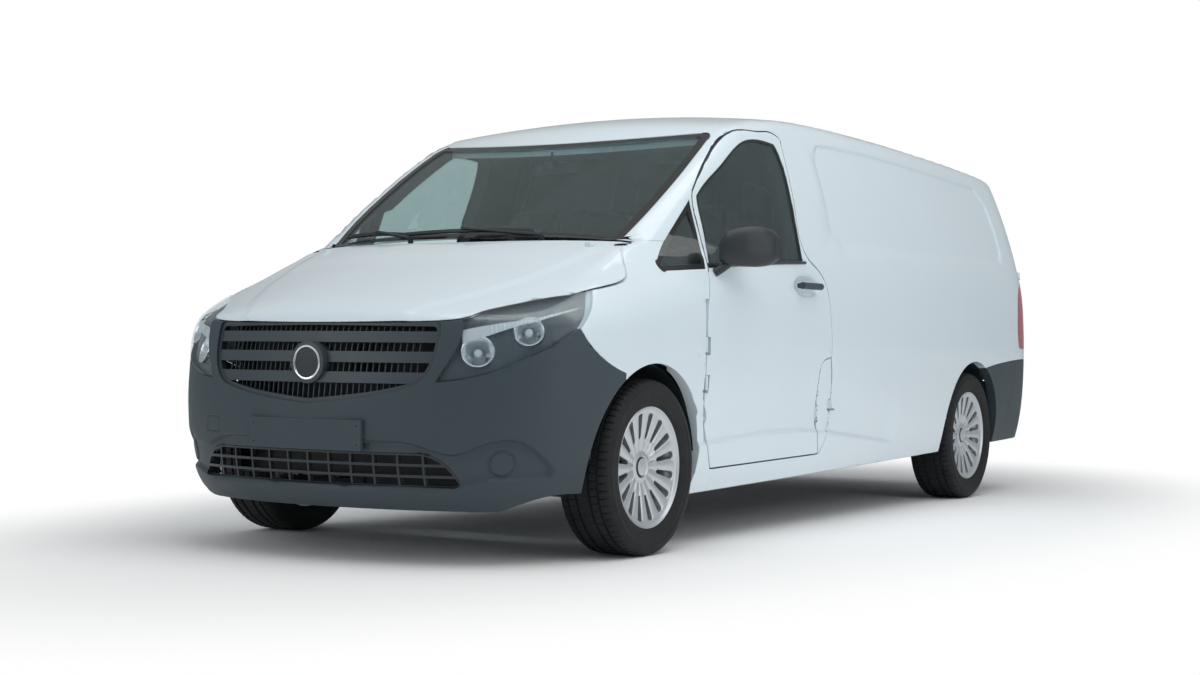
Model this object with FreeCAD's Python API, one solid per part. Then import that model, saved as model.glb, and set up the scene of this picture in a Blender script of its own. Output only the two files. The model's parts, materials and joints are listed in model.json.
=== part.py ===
import FreeCAD, Part
import math
import os

os.makedirs("parts", exist_ok=True)

# Panel van. Millimetres. X forward, Y to the driver's left, Z up, ground at Z = 0.

# Overall form
LENGTH = 5370.0
NOSE_X = LENGTH / 2
TAIL_X = -LENGTH / 2
SIDE_START_X = 500.0
TAIL_START_X = -1500.0
FLOOR_Z = 430.0
DECK_WALL = 32.0
TOE_X = 1480.0
SILL_Y = 842.0
RAIL_Y = 520.0
CAB_FLOOR_Z = 330.0

# Running gear
FRONT_AXLE_X = 1790.0
REAR_AXLE_X = -1640.0
TYRE_RADIUS = 334.0
TYRE_WIDTH = 225.0
TYRE_SHOULDER = 24.0
TYRE_FACETS = 72
RIM_RADIUS = 216.0
RIM_FLANGE_RADIUS = 231.0
RIM_WIDTH = 190.0
RIM_WALL = 12.0
SPOKES = 16
DISC_RADIUS = 108.0
POCKET_FOOT = 13.0
POCKET_MOUTH = 32.0
FRONT_TRACK_Y = 833.0
REAR_TRACK_Y = 823.0
HUB_RADIUS = 72.0
BOLT_CIRCLE_RADIUS = 56.0
BOLT_HOLE_RADIUS = 7.5
SPIGOT_RADIUS = 33.0
SPIGOT_CLEARANCE = 0.3
ARCH_RADIUS = 393.0
ARCH_DEPTH = 330.0

# Walls and gaps
GAP = 6.0
WALL = 45.0
DOOR_WALL = 70.0
PANEL_WALL = 25.0
GLASS_INSET = 2.0
GLASS_WALL = 6.0
CARRIER_WIDTH = 520.0
CARRIER_HEIGHT = 111.0
CARRIER_Z = 408.0
CARRIER_DEPTH = 14.0
CARRIER_FIT = 0.3
CARRIER_HOLE_Y = 240.0
CARRIER_HOLE_Z = [430.0, 498.0]
CARRIER_HOLE_RADIUS = 2.5
KINGPIN_OFFSET = 55.0
KINGPIN_RADIUS = 12.0
HUB_GAP = 0.4
STEERING_WHEEL_RADIUS = 185.0
PIPE_RADIUS = 25.0
SILENCER_RADIUS = 70.0
COLUMN_TOP = (1085.0, 400.0, 1115.0)
COLUMN_ANGLE = 35.0
HINGE_PIN = 4.0
HINGE_PLAY = 0.05
HEM = 6.5
SWING_GAP = 5.0
SEAT_GAP = 0.4

V = FreeCAD.Vector


def smooth(points):
    """Return a curve y(x) through points that never overshoots them."""
    xs = [p[0] for p in points]
    ys = [p[1] for p in points]
    n = len(xs)
    slope = [(ys[i + 1] - ys[i]) / (xs[i + 1] - xs[i]) for i in range(n - 1)]
    m = [slope[0]]
    for i in range(1, n - 1):
        flat = slope[i - 1] * slope[i] <= 0
        m.append(0.0 if flat else 2 * slope[i - 1] * slope[i] / (slope[i - 1] + slope[i]))
    m.append(slope[-1])

    def value(x):
        if x <= xs[0]:
            return ys[0] + m[0] * (x - xs[0])
        if x >= xs[-1]:
            return ys[-1] + m[-1] * (x - xs[-1])
        i = max(k for k in range(n - 1) if xs[k] <= x)
        h = xs[i + 1] - xs[i]
        t = (x - xs[i]) / h
        a = (2 * t ** 3 - 3 * t ** 2 + 1) * ys[i] + (t ** 3 - 2 * t ** 2 + t) * h * m[i]
        b = (3 * t ** 2 - 2 * t ** 3) * ys[i + 1] + (t ** 3 - t ** 2) * h * m[i + 1]
        return a + b

    return value


# Half width of the flank against height
flank = smooth([(180, 868), (260, 903), (400, 936), (600, 956), (850, 964), (1000, 962),
                (1120, 952), (1250, 926), (1400, 888), (1550, 843), (1700, 790), (1800, 750),
                (1900, 705)])
# Nose reach against height
nose = smooth([(180, NOSE_X - 110), (230, NOSE_X - 45), (300, NOSE_X - 15), (450, NOSE_X),
               (560, NOSE_X - 2), (700, NOSE_X - 17), (880, NOSE_X - 57), (1000, NOSE_X - 85),
               (1200, NOSE_X - 125), (1500, NOSE_X - 185), (1900, NOSE_X - 285)])
# How square the front corner is in plan
nose_power = smooth([(180, 10.5), (850, 10.5), (1000, 5.5), (1080, 3.4), (1200, 2.3),
                     (1450, 2.0), (1900, 1.9)])
# Tail reach against height
tail = smooth([(180, TAIL_X + 95), (260, TAIL_X + 25), (400, TAIL_X + 2), (520, TAIL_X),
               (700, TAIL_X + 5), (1000, TAIL_X + 30), (1300, TAIL_X + 55),
               (1600, TAIL_X + 100), (1800, TAIL_X + 150), (1900, TAIL_X + 185)])
TAIL_POWER = 16.0
TAIL_ROUND = 2.4
# Roof and windscreen on the centre line, front to back
CROWN_LINE = [(1900, 1108), (1785, 1190), (1600, 1325), (1385, 1468), (1185, 1594), (986, 1707),
              (860, 1762), (700, 1803), (450, 1845), (150, 1870), (-250, 1880), (-800, 1877),
              (-1500, 1860), (-2100, 1832), (-2500, 1800), (-2700, 1775)]
screen_bow = smooth([(-2700, 0), (150, 0), (450, 20), (700, 55), (986, 90), (1785, 100),
                     (1900, 100)])
roof_drop = smooth([(-2700, 50), (-300, 46), (300, 42), (700, 28), (986, 8), (1785, 0),
                    (1900, 0)])
# Bonnet height on the centre line and its fall to the sides
bonnet_line = smooth([(1100, 1400), (1400, 1320), (1650, 1250), (1746, 1221), (1900, 1171),
                      (2050, 1117), (2200, 1066), (2400, 996), (2520, 950), (2590, 914),
                      (2625, 884), (2650, 850)])
bonnet_fall = smooth([(1100, 55), (1700, 55), (2050, 75), (2570, 133), (2700, 140)])
LEVELS = [180, 215, 260, 330, 430, 560, 700, 850, 930, 1000, 1060, 1120, 1200, 1300, 1400, 1550,
          1700, 1800, 1900]

INNER_LEVELS = [180, 350, 600, 900, 1100, 1300, 1550, 1750, 1900]
BONNET_STATIONS = [1100, 1400, 1650, 1746, 1900, 2050, 2200, 2330, 2440, 2520, 2575, 2625, 2700]
ROWS = [-50, 100, 250, 400, 550, 700, 850, 1000]
INNER_ROWS = [-50, 200, 500, 800, 1000]


def save(name, shape):
    shape.exportStep("parts/" + name + ".step")


def spline(points, even=False):
    curve = Part.BSplineCurve()
    pts = [V(*p) for p in points]
    if even:
        n = len(pts) - 1
        curve.interpolate(Points=pts, Parameters=[i / n for i in range(n + 1)])
    else:
        curve.interpolate(pts)
    return curve.toShape()


def box(x0, x1, y0, y1, z0, z1):
    return Part.makeBox(x1 - x0, y1 - y0, z1 - z0, V(x0, y0, z0))


def rod(radius, a, b):
    d = V(*b).sub(V(*a))
    return Part.makeCylinder(radius, d.Length, V(*a), d)


def mirrored(shape):
    return shape.mirror(V(0, 0, 0), V(0, 1, 0))


def both(shape):
    return shape.fuse(mirrored(shape)).removeSplitter()


def pair(shape):
    return Part.makeCompound([shape, mirrored(shape)])


def evenly(points, count):
    """Points at equal steps of length along a polyline."""
    run = [0.0]
    for a, b in zip(points, points[1:]):
        run.append(run[-1] + math.hypot(b[0] - a[0], b[1] - a[1]))
    out = []
    k = 0
    for i in range(count + 1):
        t = run[-1] * i / count
        while k < len(run) - 2 and run[k + 1] < t:
            k += 1
        q = (t - run[k]) / (run[k + 1] - run[k])
        a = points[k]
        b = points[k + 1]
        out.append((a[0] + (b[0] - a[0]) * q, a[1] + (b[1] - a[1]) * q))
    out[0] = points[0]
    out[-1] = points[-1]
    return out


def plan_outline(z, inset):
    """Half plan of the body at one height, from nose to tail."""
    w = flank(z) - inset
    reach = nose(z) - inset - SIDE_START_X
    back = TAIL_START_X - tail(z) - inset
    power = nose_power(z)
    front = []
    rear = []
    steps = 160
    for i in range(steps + 1):
        a = math.pi / 2 * i / steps
        front.append((SIDE_START_X + reach * math.cos(a) ** (2 / power), w * math.sin(a)))
        y = w * (math.cos(a) ** 2) ** (1 / TAIL_ROUND)
        rear.append((TAIL_START_X - back * math.sin(a) ** (2 / TAIL_POWER), y))
    front = evenly(front, 12 if inset else 20)
    rear = evenly(rear, 10 if inset else 16)
    span = TAIL_START_X - SIDE_START_X
    middle = [(SIDE_START_X + span * i / 3, w) for i in range(1, 3)]
    return [(x, y, z) for x, y in front + middle + rear]


def side_volume(inset):
    """Flanks, nose and tail. An inner form also runs past the centre plane and the foot."""
    over = 40.0 if inset else 0.0
    wires = []
    levels = INNER_LEVELS if inset else LEVELS
    for z in [levels[0] - over] + levels[1:]:
        pts = plan_outline(z, inset)
        a = V(*pts[0])
        b = V(*pts[-1])
        close = [Part.makeLine(b, a)]
        if over:
            a0 = V(a.x, -over, z)
            b0 = V(b.x, -over, z)
            close = [Part.makeLine(b, b0), Part.makeLine(b0, a0), Part.makeLine(a0, a)]
        wires.append(Part.Wire([spline(pts, True)] + close))
    return Part.makeLoft(wires, True, False)


def top_volume(rows):
    wires = []
    for pts in rows:
        y = pts[0][1]
        a = V(*pts[0])
        b = V(*pts[-1])
        a0 = V(a.x, y, 100)
        b0 = V(b.x, y, 100)
        sides = [Part.makeLine(b, b0), Part.makeLine(b0, a0), Part.makeLine(a0, a)]
        wires.append(Part.Wire([spline(pts, True)] + sides))
    return Part.makeLoft(wires, True, False)


def roof_volume(inset):
    rows = []
    for y in INNER_ROWS if inset else ROWS:
        k = (y / 700.0) ** 2
        pts = [(x - screen_bow(x) * k, z - roof_drop(x) * k) for x, z in CROWN_LINE]
        row = []
        for i, (x, z) in enumerate(pts):
            a = pts[max(i - 1, 0)]
            b = pts[min(i + 1, len(pts) - 1)]
            d = math.hypot(b[0] - a[0], b[1] - a[1])
            nx = abs(b[1] - a[1]) / d * (1 if b[1] > a[1] else -1)
            nz = abs(b[0] - a[0]) / d
            row.append((x - nx * inset, y, z - nz * inset))
        rows.append(row)
    return top_volume(rows)


def bonnet_volume(inset):
    rows = []
    for y in INNER_ROWS if inset else ROWS:
        fall = (abs(y) / 830.0) ** 2.5
        rows.append([(x, y, bonnet_line(x) - bonnet_fall(x) * fall - inset)
                     for x in BONNET_STATIONS])
    return top_volume(rows)


def long_edge(shape, zmin):
    found = [e for e in shape.Edges if e.BoundBox.XLength > 1200 and e.BoundBox.YMax > 600
             and e.BoundBox.ZMin > zmin and e.BoundBox.ZMax < 1850]
    return max(found, key=lambda e: e.Length)


def rear_half(inset):
    """Left half of cab and load space, behind the foot of the windscreen."""
    over = 40.0 if inset else 0.0
    room = box(-3000, 1730 + over, -60, 1100, 90, 2000)
    return side_volume(inset).common(roof_volume(inset)).common(room)


def front_half(inset):
    """Left half of the front end under the bonnet."""
    return side_volume(inset).common(bonnet_volume(inset))


def loop(sections):
    """Closed wire from smooth runs of (a, b) points placed by a function."""
    edges = []
    for pts in sections:
        if len(pts) == 2:
            edges.append(Part.makeLine(V(*pts[0]), V(*pts[1])))
        else:
            edges.append(spline(pts))
    return Part.Wire(Part.__sortEdges__(edges))


def grown(face, grow):
    """The face with its outline moved out by a gap, or in where it is negative."""
    if not grow:
        return face
    edges = []
    for edge in face.makeOffset2D(grow).OuterWire.OrderedEdges:
        if edge.Curve.TypeId == "Part::GeomLine":
            edges.append(edge)
        else:
            pts = edge.discretize(max(6, int(edge.Length / 30)))
            edges.append(spline([(p.x, p.y, p.z) for p in pts]))
    return Part.Face(Part.Wire(Part.__sortEdges__(edges)))


def side_prism(sections, y0, y1, grow=0.0):
    """Prism along Y of an outline of smooth runs seen from the side."""
    face = Part.Face(loop([[(x, y0, z) for x, z in run] for run in sections]))
    return grown(face, grow).extrude(V(0, y1 - y0, 0))


def front_prism(sections, x0, x1, grow=0.0):
    """Prism along X of an outline of smooth runs seen from the front."""
    face = Part.Face(loop([[(x0, y, z) for y, z in run] for run in sections]))
    return grown(face, grow).extrude(V(x1 - x0, 0, 0))


def plan_prism(sections, z0, z1, grow=0.0):
    """Prism along Z of an outline of smooth runs seen from above."""
    face = Part.Face(loop([[(x, y, z0) for x, y in run] for run in sections]))
    return grown(face, grow).extrude(V(0, 0, z1 - z0))


# Shut lines on the left side, seen from the side as (x, z)
DOOR_FOOT = [(1277, 303), (262, 318)]
FLAP_LINE = [(262, 318), (300, 400), (330, 500), (334, 640), (318, 712), (262, 742), (214, 748)]
DOOR_REAR = [(214, 748), (210, 830), (224, 930), (250, 1040), (325, 1130), (430, 1190),
             (468, 1260), (450, 1397), (424, 1556), (398, 1700)]
DOOR_TOP = [(398, 1700), (396, 1718), (415, 1730), (600, 1733), (790, 1722), (888, 1688),
            (1054, 1592), (1185, 1495), (1262, 1425)]
DOOR_FRONT = [(1262, 1425), (1284, 1373), (1293, 1281), (1301, 1179), (1332, 1087), (1379, 976),
              (1396, 818), (1399, 660), (1376, 502), (1328, 380), (1277, 303)]
DOOR = [DOOR_FOOT, FLAP_LINE, DOOR_REAR, DOOR_TOP, DOOR_FRONT]
FLAP = [FLAP_LINE, [(214, 748), (192, 640), (188, 520), (210, 385), (262, 318)]]
DOOR_GLASS = [[(1322, 1106), (500, 1160)],
              [(500, 1160), (486, 1166), (483, 1182), (468, 1400), (462, 1660), (472, 1682),
               (500, 1690)],
              [(500, 1690), (640, 1694), (760, 1676), (857, 1638), (1020, 1546), (1208, 1434),
               (1248, 1402)],
              [(1248, 1402), (1256, 1370), (1262, 1300), (1276, 1200), (1322, 1106)]]
QUARTER_GLASS = [[(1345, 1101), (1610, 1084)],
                 [(1610, 1084), (1643, 1086), (1648, 1106), (1625, 1128)],
                 [(1625, 1128), (1568, 1172), (1434, 1278), (1300, 1384)],
                 [(1300, 1384), (1308, 1290), (1318, 1190), (1345, 1101)]]
# Mirror head, as (y, middle x, length, middle z, height) outward, and its arm
MIRROR_RINGS = [(957, 1262, 70, 1175, 90), (985, 1236, 112, 1190, 148), (1050, 1170, 128, 1197, 166),
                (1095, 1118, 110, 1196, 146), (1120, 1092, 60, 1194, 88)]
MIRROR_ARM = 17.0
MIRROR_ARM_LINE = [(1285, 932, 1086), (1238, 992, 1150)]
# Bonnet shut line from the grille to its rear corner
BONNET_LINE = [(2720, 866), (2600, 870), (2530, 882), (2497, 897), (2378, 934), (2251, 966),
               (2086, 998), (1990, 1014), (1916, 1030), (1858, 1056), (1828, 1090), (1796, 1134),
               (1760, 1168), (1690, 1186)]
FENDER_TOP_Z = 1204.0
FENDER_REAR_X = 1240.0
LAMP_LOW = [(2092, 996), (2150, 940), (2245, 852), (2364, 783), (2464, 724), (2545, 677),
            (2600, 658)]
LAMP_INNER = [(2600, 658), (2575, 736), (2551, 807), (2526, 884)]
LAMP_INNER_Y = 536.0
FENDER_FRONT = [(2245, 852), (2200, 790), (2131, 740), (2062, 709), (2000, 690)]
SCREEN_TOP_X = 1050.0
SCREEN_BASE_X = 1735.0
SCREEN_BOW = 100.0
BONNET_REAR_X = 1806.0
GRILLE = [[(0, 877), (497, 872)],
          [(497, 872), (519, 862), (522, 845), (520, 771), (497, 693), (437, 640)],
          [(437, 640), (302, 609), (150, 588), (0, 573)],
          [(0, 573), (0, 877)]]
GRILLE_MIDDLE_Z = 724.0
GRILLE_SLATS = [(796, 836), (724, 764), (650, 690)]
GRILLE_RIBS = 36
RIB_PITCH = 25.0
BADGE_RADIUS = 76.5
LOWER_GRILLE = [[(0, 404), (455, 404)], [(455, 404), (500, 398), (600, 292)],
                [(600, 292), (585, 284), (560, 283)], [(560, 283), (0, 283)], [(0, 283), (0, 404)]]
SLIDING_DOOR = (-1100.0, 70.0, 338.0, 1721.0)
SLIDING_CORNER = 28.0
REAR_DOOR_FOOT_Z = 612.0
REAR_DOOR_HEAD_Z = 1752.0
REAR_DOOR_EDGE = 105.0
REAR_HEADER_X = -2488.0


def screen_outline():
    """Windscreen opening seen from above."""
    top = [(SCREEN_TOP_X - 0.000345 * y * y, y) for y in (0, 200, 400, 560, 660)]
    corner = [top[-1], (888, 684), (905, 704), (960, 716)]
    edge = [(960, 716), (1120, 735), (1330, 744), (1518, 738), (1640, 722)]
    foot = [(1640, 722), (1664, 708), (1686, 640), (1713, 400), (1730, 200), (SCREEN_BASE_X, 0)]
    return [top, corner, edge, foot, [(SCREEN_BASE_X, 0), (SCREEN_TOP_X, 0)]]


def bonnet_plan():
    """Bonnet seen from above, with its rear edge bowed like the windscreen."""
    rear = [(BONNET_REAR_X - 0.000204 * y * y, y) for y in (-50, 200, 400, 600, 760)]
    a = rear[0]
    b = rear[-1]
    return [rear, [b, (b[0], 1100)], [(b[0], 1100), (2800, 1100)], [(2800, 1100), (2800, -50)],
            [(2800, -50), a]]


def bonnet_side():
    a = BONNET_LINE[0]
    b = BONNET_LINE[-1]
    return [BONNET_LINE, [b, (b[0], 1300)], [(b[0], 1300), (a[0], 1300)], [(a[0], 1300), a]]


def lamp_side(grow=0):
    """Headlamp seen from the side, up to the bonnet shut line."""
    line = [p for p in BONNET_LINE if 2086 <= p[0] <= 2530]
    top = [LAMP_INNER[-1]] + line[1:-1] + [LAMP_LOW[0]]
    return [LAMP_LOW, LAMP_INNER, top]


def first_solid(shape):
    return max(shape.Solids, key=lambda s: s.BoundBox.DiagonalLength)


def arch(x, radius=ARCH_RADIUS, depth=ARCH_DEPTH):
    return rod(radius, (x, 1000 - depth - 70, TYRE_RADIUS), (x, 1100, TYRE_RADIUS))


def eased(shape, gap=SEAT_GAP, centre=None):
    """The shape drawn in a little about its middle, so that it seats without touching."""
    b = shape.BoundBox
    sides = sorted([b.XLength, b.YLength, b.ZLength])
    drawn = shape.copy()
    drawn.scale(1 - 2 * gap / sides[1], centre or b.Center)
    return drawn


FRONT_HINGE = (1391.0, 955.5)
FRONT_HINGE_Z = [620.0, 770.0]
DOOR_INNER_Y = 700.0
HINGE_HEIGHT = 60.0
EAR = 10.0
RAIL_CORNER = (902.0, 656.0)
LEAN_ROOM = 18.0
LEAN_STEP = 12.0
LEAN_FOOT = 1500.0
DOOR_FLANGE = 14.0
REAR_HINGE = (-2586.0, 868.0)
REAR_HINGE_Z = [748.0, 1204.0]
REAR_KNUCKLE = 36.0
BONNET_HINGE = (1698.0, 1184.0)
BONNET_HINGE_Y = [640.0, 664.0]
BONNET_SWEEP = 34.0
FLAP_HINGE = (200.0, 952.0)
FLAP_WALL = 10.0


def door_outline(grow):
    return side_prism(DOOR, 500, 1100, grow)


def build_form():
    outer = first_solid(rear_half(0))
    outer = outer.makeFillet(90, 45, [long_edge(outer, 1000)])
    front = first_solid(front_half(0))
    front = front.makeFillet(90, [long_edge(front, 850)])
    return outer, front


def arches():
    front = arch(FRONT_AXLE_X)
    rear = arch(REAR_AXLE_X)
    return front.fuse(rear)


def sill_cut():
    """What lies under the sill line between the wheels, and under the tail."""
    line = [(2700, 190), (1361, 208), (400, 226), (-700, 250), (-2700, 300)]
    return side_prism([line, [(-2700, 300), (-2700, 100)], [(-2700, 100), (2700, 100)],
                       [(2700, 100), (2700, 190)]], -50, 1100)


def rear_opening(grow):
    """Doorway at the tail for the left door, seen from the rear."""
    zs = [REAR_DOOR_FOOT_Z, 700, 850, 1000, 1200, 1400, 1550, 1680]
    edge = [(flank(z) - REAR_DOOR_EDGE, z) for z in zs]
    head = REAR_DOOR_HEAD_Z
    edge = edge + [(flank(1720) - REAR_DOOR_EDGE - 30, head)]
    a = edge[0]
    b = edge[-1]
    face = [[(2, a[1]), a], edge, [b, (2, b[1])], [(2, b[1]), (2, a[1])]]
    return front_prism(face, -2750, -2250, grow)


def bumper_rear_region(grow):
    line = [(-1700, 668), (-1800, 690), (-1941, 708), (-2184, 728), (-2331, 736), (-2750, 742)]
    run = [line, [(-2750, 742), (-2750, 150)], [(-2750, 150), (-1700, 150)],
           [(-1700, 150), (-1700, 668)]]
    return side_prism(run, -50, 1100, grow)


def tail_lamp_region(grow):
    run = [[(-2318, 990), (-2312, 920), (-2322, 850), (-2345, 800)],
           [(-2345, 800), (-2700, 790)], [(-2700, 790), (-2700, 1180)],
           [(-2700, 1180), (-2480, 1180)],
           [(-2480, 1180), (-2400, 1160), (-2340, 1090), (-2318, 990)]]
    return side_prism(run, 700, 1100, grow)


def roof_plan(grow):
    front = [(SCREEN_TOP_X - 0.000345 * y * y, y) for y in (-50, 0, 200, 400, 560, 640)]
    a = front[0]
    b = front[-1]
    side = [b, (300, 690), (-1000, 692), (-2350, 668)]
    tail_edge = [side[-1], (-2440, 640), (-2480, 560)]
    return plan_prism([front, side, tail_edge, [tail_edge[-1], (-2480, -50)],
                       [(-2480, -50), a]], 1500, 2000, grow)


def bumper_front_region(grow):
    """Front bumper with the surround of the grille, seen from the side."""
    run = [FENDER_FRONT, LAMP_LOW[2:], LAMP_INNER, [(2526, 884), (2800, 868)],
           [(2800, 868), (2800, 100)], [(2800, 100), (2000, 100)], [(2000, 100), (2000, 690)]]
    return side_prism(run, -50, 1100, grow)


def tyre(x, y):
    """Closed ring of flat facets, standing on one of them."""
    w = TYRE_WIDTH / 2
    r = TYRE_RADIUS
    rim = RIM_WIDTH / 2
    half = [(RIM_RADIUS, -rim + 16), (RIM_FLANGE_RADIUS + 5, -rim - 3),
            (0.5 * (RIM_FLANGE_RADIUS + r) - 4, -w), (r - TYRE_SHOULDER, -w + 6),
            (r, -w + TYRE_SHOULDER + 10)]
    profile = half + [(a, -b) for a, b in reversed(half)]
    step = 2 * math.pi / TYRE_FACETS
    grow = 1 / math.cos(step / 2)
    rings = []
    for i in range(TYRE_FACETS):
        angle = step * (i + 0.5)
        rings.append([V(x + a * grow * math.sin(angle), y + b, r + a * grow * math.cos(angle))
                      for a, b in profile])
    faces = []
    for now, after in zip(rings, rings[1:] + rings[:1]):
        for k in range(len(profile)):
            n = (k + 1) % len(profile)
            corners = [now[k], now[n], after[n], after[k], now[k]]
            faces.append(Part.Face(Part.makePolygon(corners)))
    shell = Part.makeShell(faces)
    shell.sewShape()
    solid = Part.makeSolid(shell)
    if solid.Volume < 0:
        solid.reverse()
    return solid


def wheel_disc(x, y, side):
    """Alloy rim with its spokes. side is 1 on the left, -1 on the right."""
    rw = RIM_WIDTH / 2
    zc = TYRE_RADIUS
    prof = [(RIM_RADIUS, -rw + 16), (RIM_FLANGE_RADIUS, -rw), (RIM_FLANGE_RADIUS - 8, -rw - 3),
            (RIM_RADIUS - RIM_WALL, -rw + 10), (RIM_RADIUS - RIM_WALL - 6, rw - 30),
            (RIM_RADIUS - RIM_WALL, rw - 8), (RIM_FLANGE_RADIUS - 8, rw + 3),
            (RIM_FLANGE_RADIUS, rw), (RIM_RADIUS, rw - 16)]
    pts = [V(0, b, a) for a, b in prof]
    pts.append(pts[0])
    barrel = Part.Face(Part.makePolygon(pts)).revolve(V(0, 0, 0), V(0, 1, 0), 360)
    face_y = rw - 12
    pitch = math.pi / SPOKES
    foot = DISC_RADIUS - 6
    end = RIM_RADIUS - RIM_WALL + 4
    a = foot * pitch - POCKET_FOOT / 2
    b = end * pitch - POCKET_MOUTH / 2
    plate = Part.Face(Part.makePolygon([V(-a, 0, foot), V(a, 0, foot), V(b, 0, end), V(-b, 0, end),
                                        V(-a, 0, foot)])).extrude(V(0, 22, 0))
    plate.translate(V(0, face_y - 30, 0))
    spokes = []
    for i in range(SPOKES):
        one = plate.copy()
        one.rotate(V(0, 0, 0), V(0, 1, 0), 360.0 * i / SPOKES)
        spokes.append(one)
    hub = rod(HUB_RADIUS, (0, face_y - 60, 0), (0, face_y - 8, 0))
    disc = rod(DISC_RADIUS, (0, face_y - 30, 0), (0, face_y - 8, 0))
    wheel = barrel.multiFuse(spokes + [hub, disc])
    bore = rod(SPIGOT_RADIUS + SPIGOT_CLEARANCE, (0, -200, 0), (0, face_y - 20, 0))
    holes = [bore]
    for i in range(5):
        a = 2 * math.pi * i / 5
        px = BOLT_CIRCLE_RADIUS * math.sin(a)
        pz = BOLT_CIRCLE_RADIUS * math.cos(a)
        holes.append(rod(BOLT_HOLE_RADIUS, (px, -200, pz), (px, 200, pz)))
    wheel = wheel.cut(Part.makeCompound(holes))
    if side < 0:
        wheel = mirrored(wheel)
    wheel.translate(V(x, y, zc))
    return wheel


def quarter_prism(grow=0.0):
    return side_prism(QUARTER_GLASS, 500, 1100, grow)


def sliding_prism(grow):
    """Side door behind the cab, seen from the side, with its outline moved out by a gap."""
    x0, x1, z0, z1 = SLIDING_DOOR
    slab = box(x0 - grow, x1 + grow, 500, 1100, z0 - grow, z1 + grow)
    corners = [e for e in slab.Edges if e.BoundBox.YLength > 500]
    return slab.makeFillet(SLIDING_CORNER + grow, corners)


def flap_prism(grow):
    return side_prism(FLAP, 500, 1100, grow)


def edge_room(foot, behind, ahead):
    """Room along the door opening's rear edge, from under the outer flange inward."""
    skin = [(flank(z) - DOOR_FLANGE, z) for z in (1180, 1300, 1400, 1500, 1600, 1700, 1760)]
    face = skin + [(500, 1760), (500, 1180)]
    inside = Part.Face(Part.makePolygon([V(360, y, z) for y, z in face + face[:1]]))
    edge = DOOR_REAR[5:] + [(390, 1760)]
    side = [(x - behind, z) for x, z in edge] + [(x + ahead, z) for x, z in reversed(edge)]
    room = Part.Face(Part.makePolygon([V(x, 400, z) for x, z in side + side[:1]]))
    room = room.extrude(V(0, 700, 0)).common(box(300, 600, 400, 1100, foot, 1800))
    return inside.extrude(V(200, 0, 0)).common(room)


def build_side(shell):
    """One side of the body: pillars, sill, roof rail and rear quarter."""
    room = box(-3000, 1648, -50, 1100, 100, 2000)
    fender = box(FENDER_REAR_X, 1700, -50, 1100, 100, FENDER_TOP_Z)
    flap = flap_prism(GAP / 2)
    tools = [sill_cut(), arches(), door_outline(GAP / 2), flap,
             plan_prism(screen_outline(), 1100, 1900), roof_plan(1.0), quarter_prism(),
             bumper_rear_region(1.5), tail_lamp_region(1.0), rear_opening(GAP / 2), fender]
    side = shell.common(room)
    for tool in tools:
        side = side.cut(tool)
    return side.cut(edge_room(1180, LEAN_ROOM, 60))


def build_hinge_pins():
    """Pins of a front door on the ears of a post, and the room that they take in the wing."""
    hx, hy = FRONT_HINGE
    low = FRONT_HINGE_Z[0] - 40
    high = FRONT_HINGE_Z[1] + HINGE_HEIGHT + 30
    post = box(hx + 14, hx + 34, hy - 50, hy - 12, low, high)
    room = [box(hx + 13, hx + 35, hy - 51, hy - 11, low - 1, high + 1)]
    room.append(rod(HEM + SWING_GAP, (hx, hy, low), (hx, hy, high + 120)))
    parts = []
    for z in FRONT_HINGE_Z:
        parts.append(rod(HINGE_PIN, (hx, hy, z - EAR), (hx, hy, z + HINGE_HEIGHT - 10)))
        parts.append(box(hx - 6, hx + 20, hy - 30, hy + 0.5, z - EAR, z - 0.5))
        room.append(box(hx - 7, hx + 20.5, hy - 31, 1100, z - EAR - 0.5, z))
    return post.multiFuse(parts), room[0].multiFuse(room[1:])


def hang_door(door):
    """Round the front edge of a door about its hinge and give it bored hinge arms."""
    hx, hy = FRONT_HINGE
    edge = box(hx, hx + 40, 800, 1000, 250, 1500).cut(rod(HEM, (hx, hy, 250), (hx, hy, 1500)))
    door = door.cut(edge)
    for z in FRONT_HINGE_Z:
        top = z + HINGE_HEIGHT
        door = door.cut(box(hx - 26, hx + 30, hy - 60, hy + 20, z - EAR - 2, top))
        arm = box(hx - 70, hx, hy - 58, hy - 42, z, top - 2)
        web = box(hx - HEM + 1, hx + HEM - 1, hy - 58, hy, z, top - 2)
        lug = rod(HEM, (hx, hy, z), (hx, hy, top - 2)).fuse(web).fuse(arm)
        bore = rod(HINGE_PIN + HINGE_PLAY, (hx, hy, z - 20), (hx, hy, top + 20))
        door = door.fuse(lug).cut(bore)
    return door


def build_fender(rear_shell, front_shell):
    """Front wing, from the bumper to the door, with the foot of the pillar."""
    back = rear_shell.common(box(FENDER_REAR_X + 1, 1648, 600, 1100, 180, FENDER_TOP_Z - 1.0))
    back = back.cut(door_outline(GAP / 2))
    front = front_shell.common(box(1648, 2300, 500, 1100, 180, 1300))
    front = front.cut(side_prism(bonnet_side(), -50, 1100, GAP / 2))
    front = front.cut(bumper_front_region(1.5))
    front = front.cut(side_prism(lamp_side(), 100, 1100, 1.5))
    front = front.cut(plan_prism(screen_outline(), 1100, 1900))
    front = front.cut(box(1640, 1900, 0, 1100, FENDER_TOP_Z - 1.0, 1400))
    wing = back.fuse(front)
    bx, bz = BONNET_HINGE
    y0, y1 = BONNET_HINGE_Y
    room = rod(BONNET_SWEEP, (bx, y0 - 10, bz), (bx, 778, bz))
    room = room.fuse(box(bx - 14, 1806, y0 - 6, y1 + 6, 1140, 1206))
    for tool in (sill_cut(), arch(FRONT_AXLE_X), room, quarter_prism()):
        wing = wing.cut(tool)
    return wing


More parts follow.
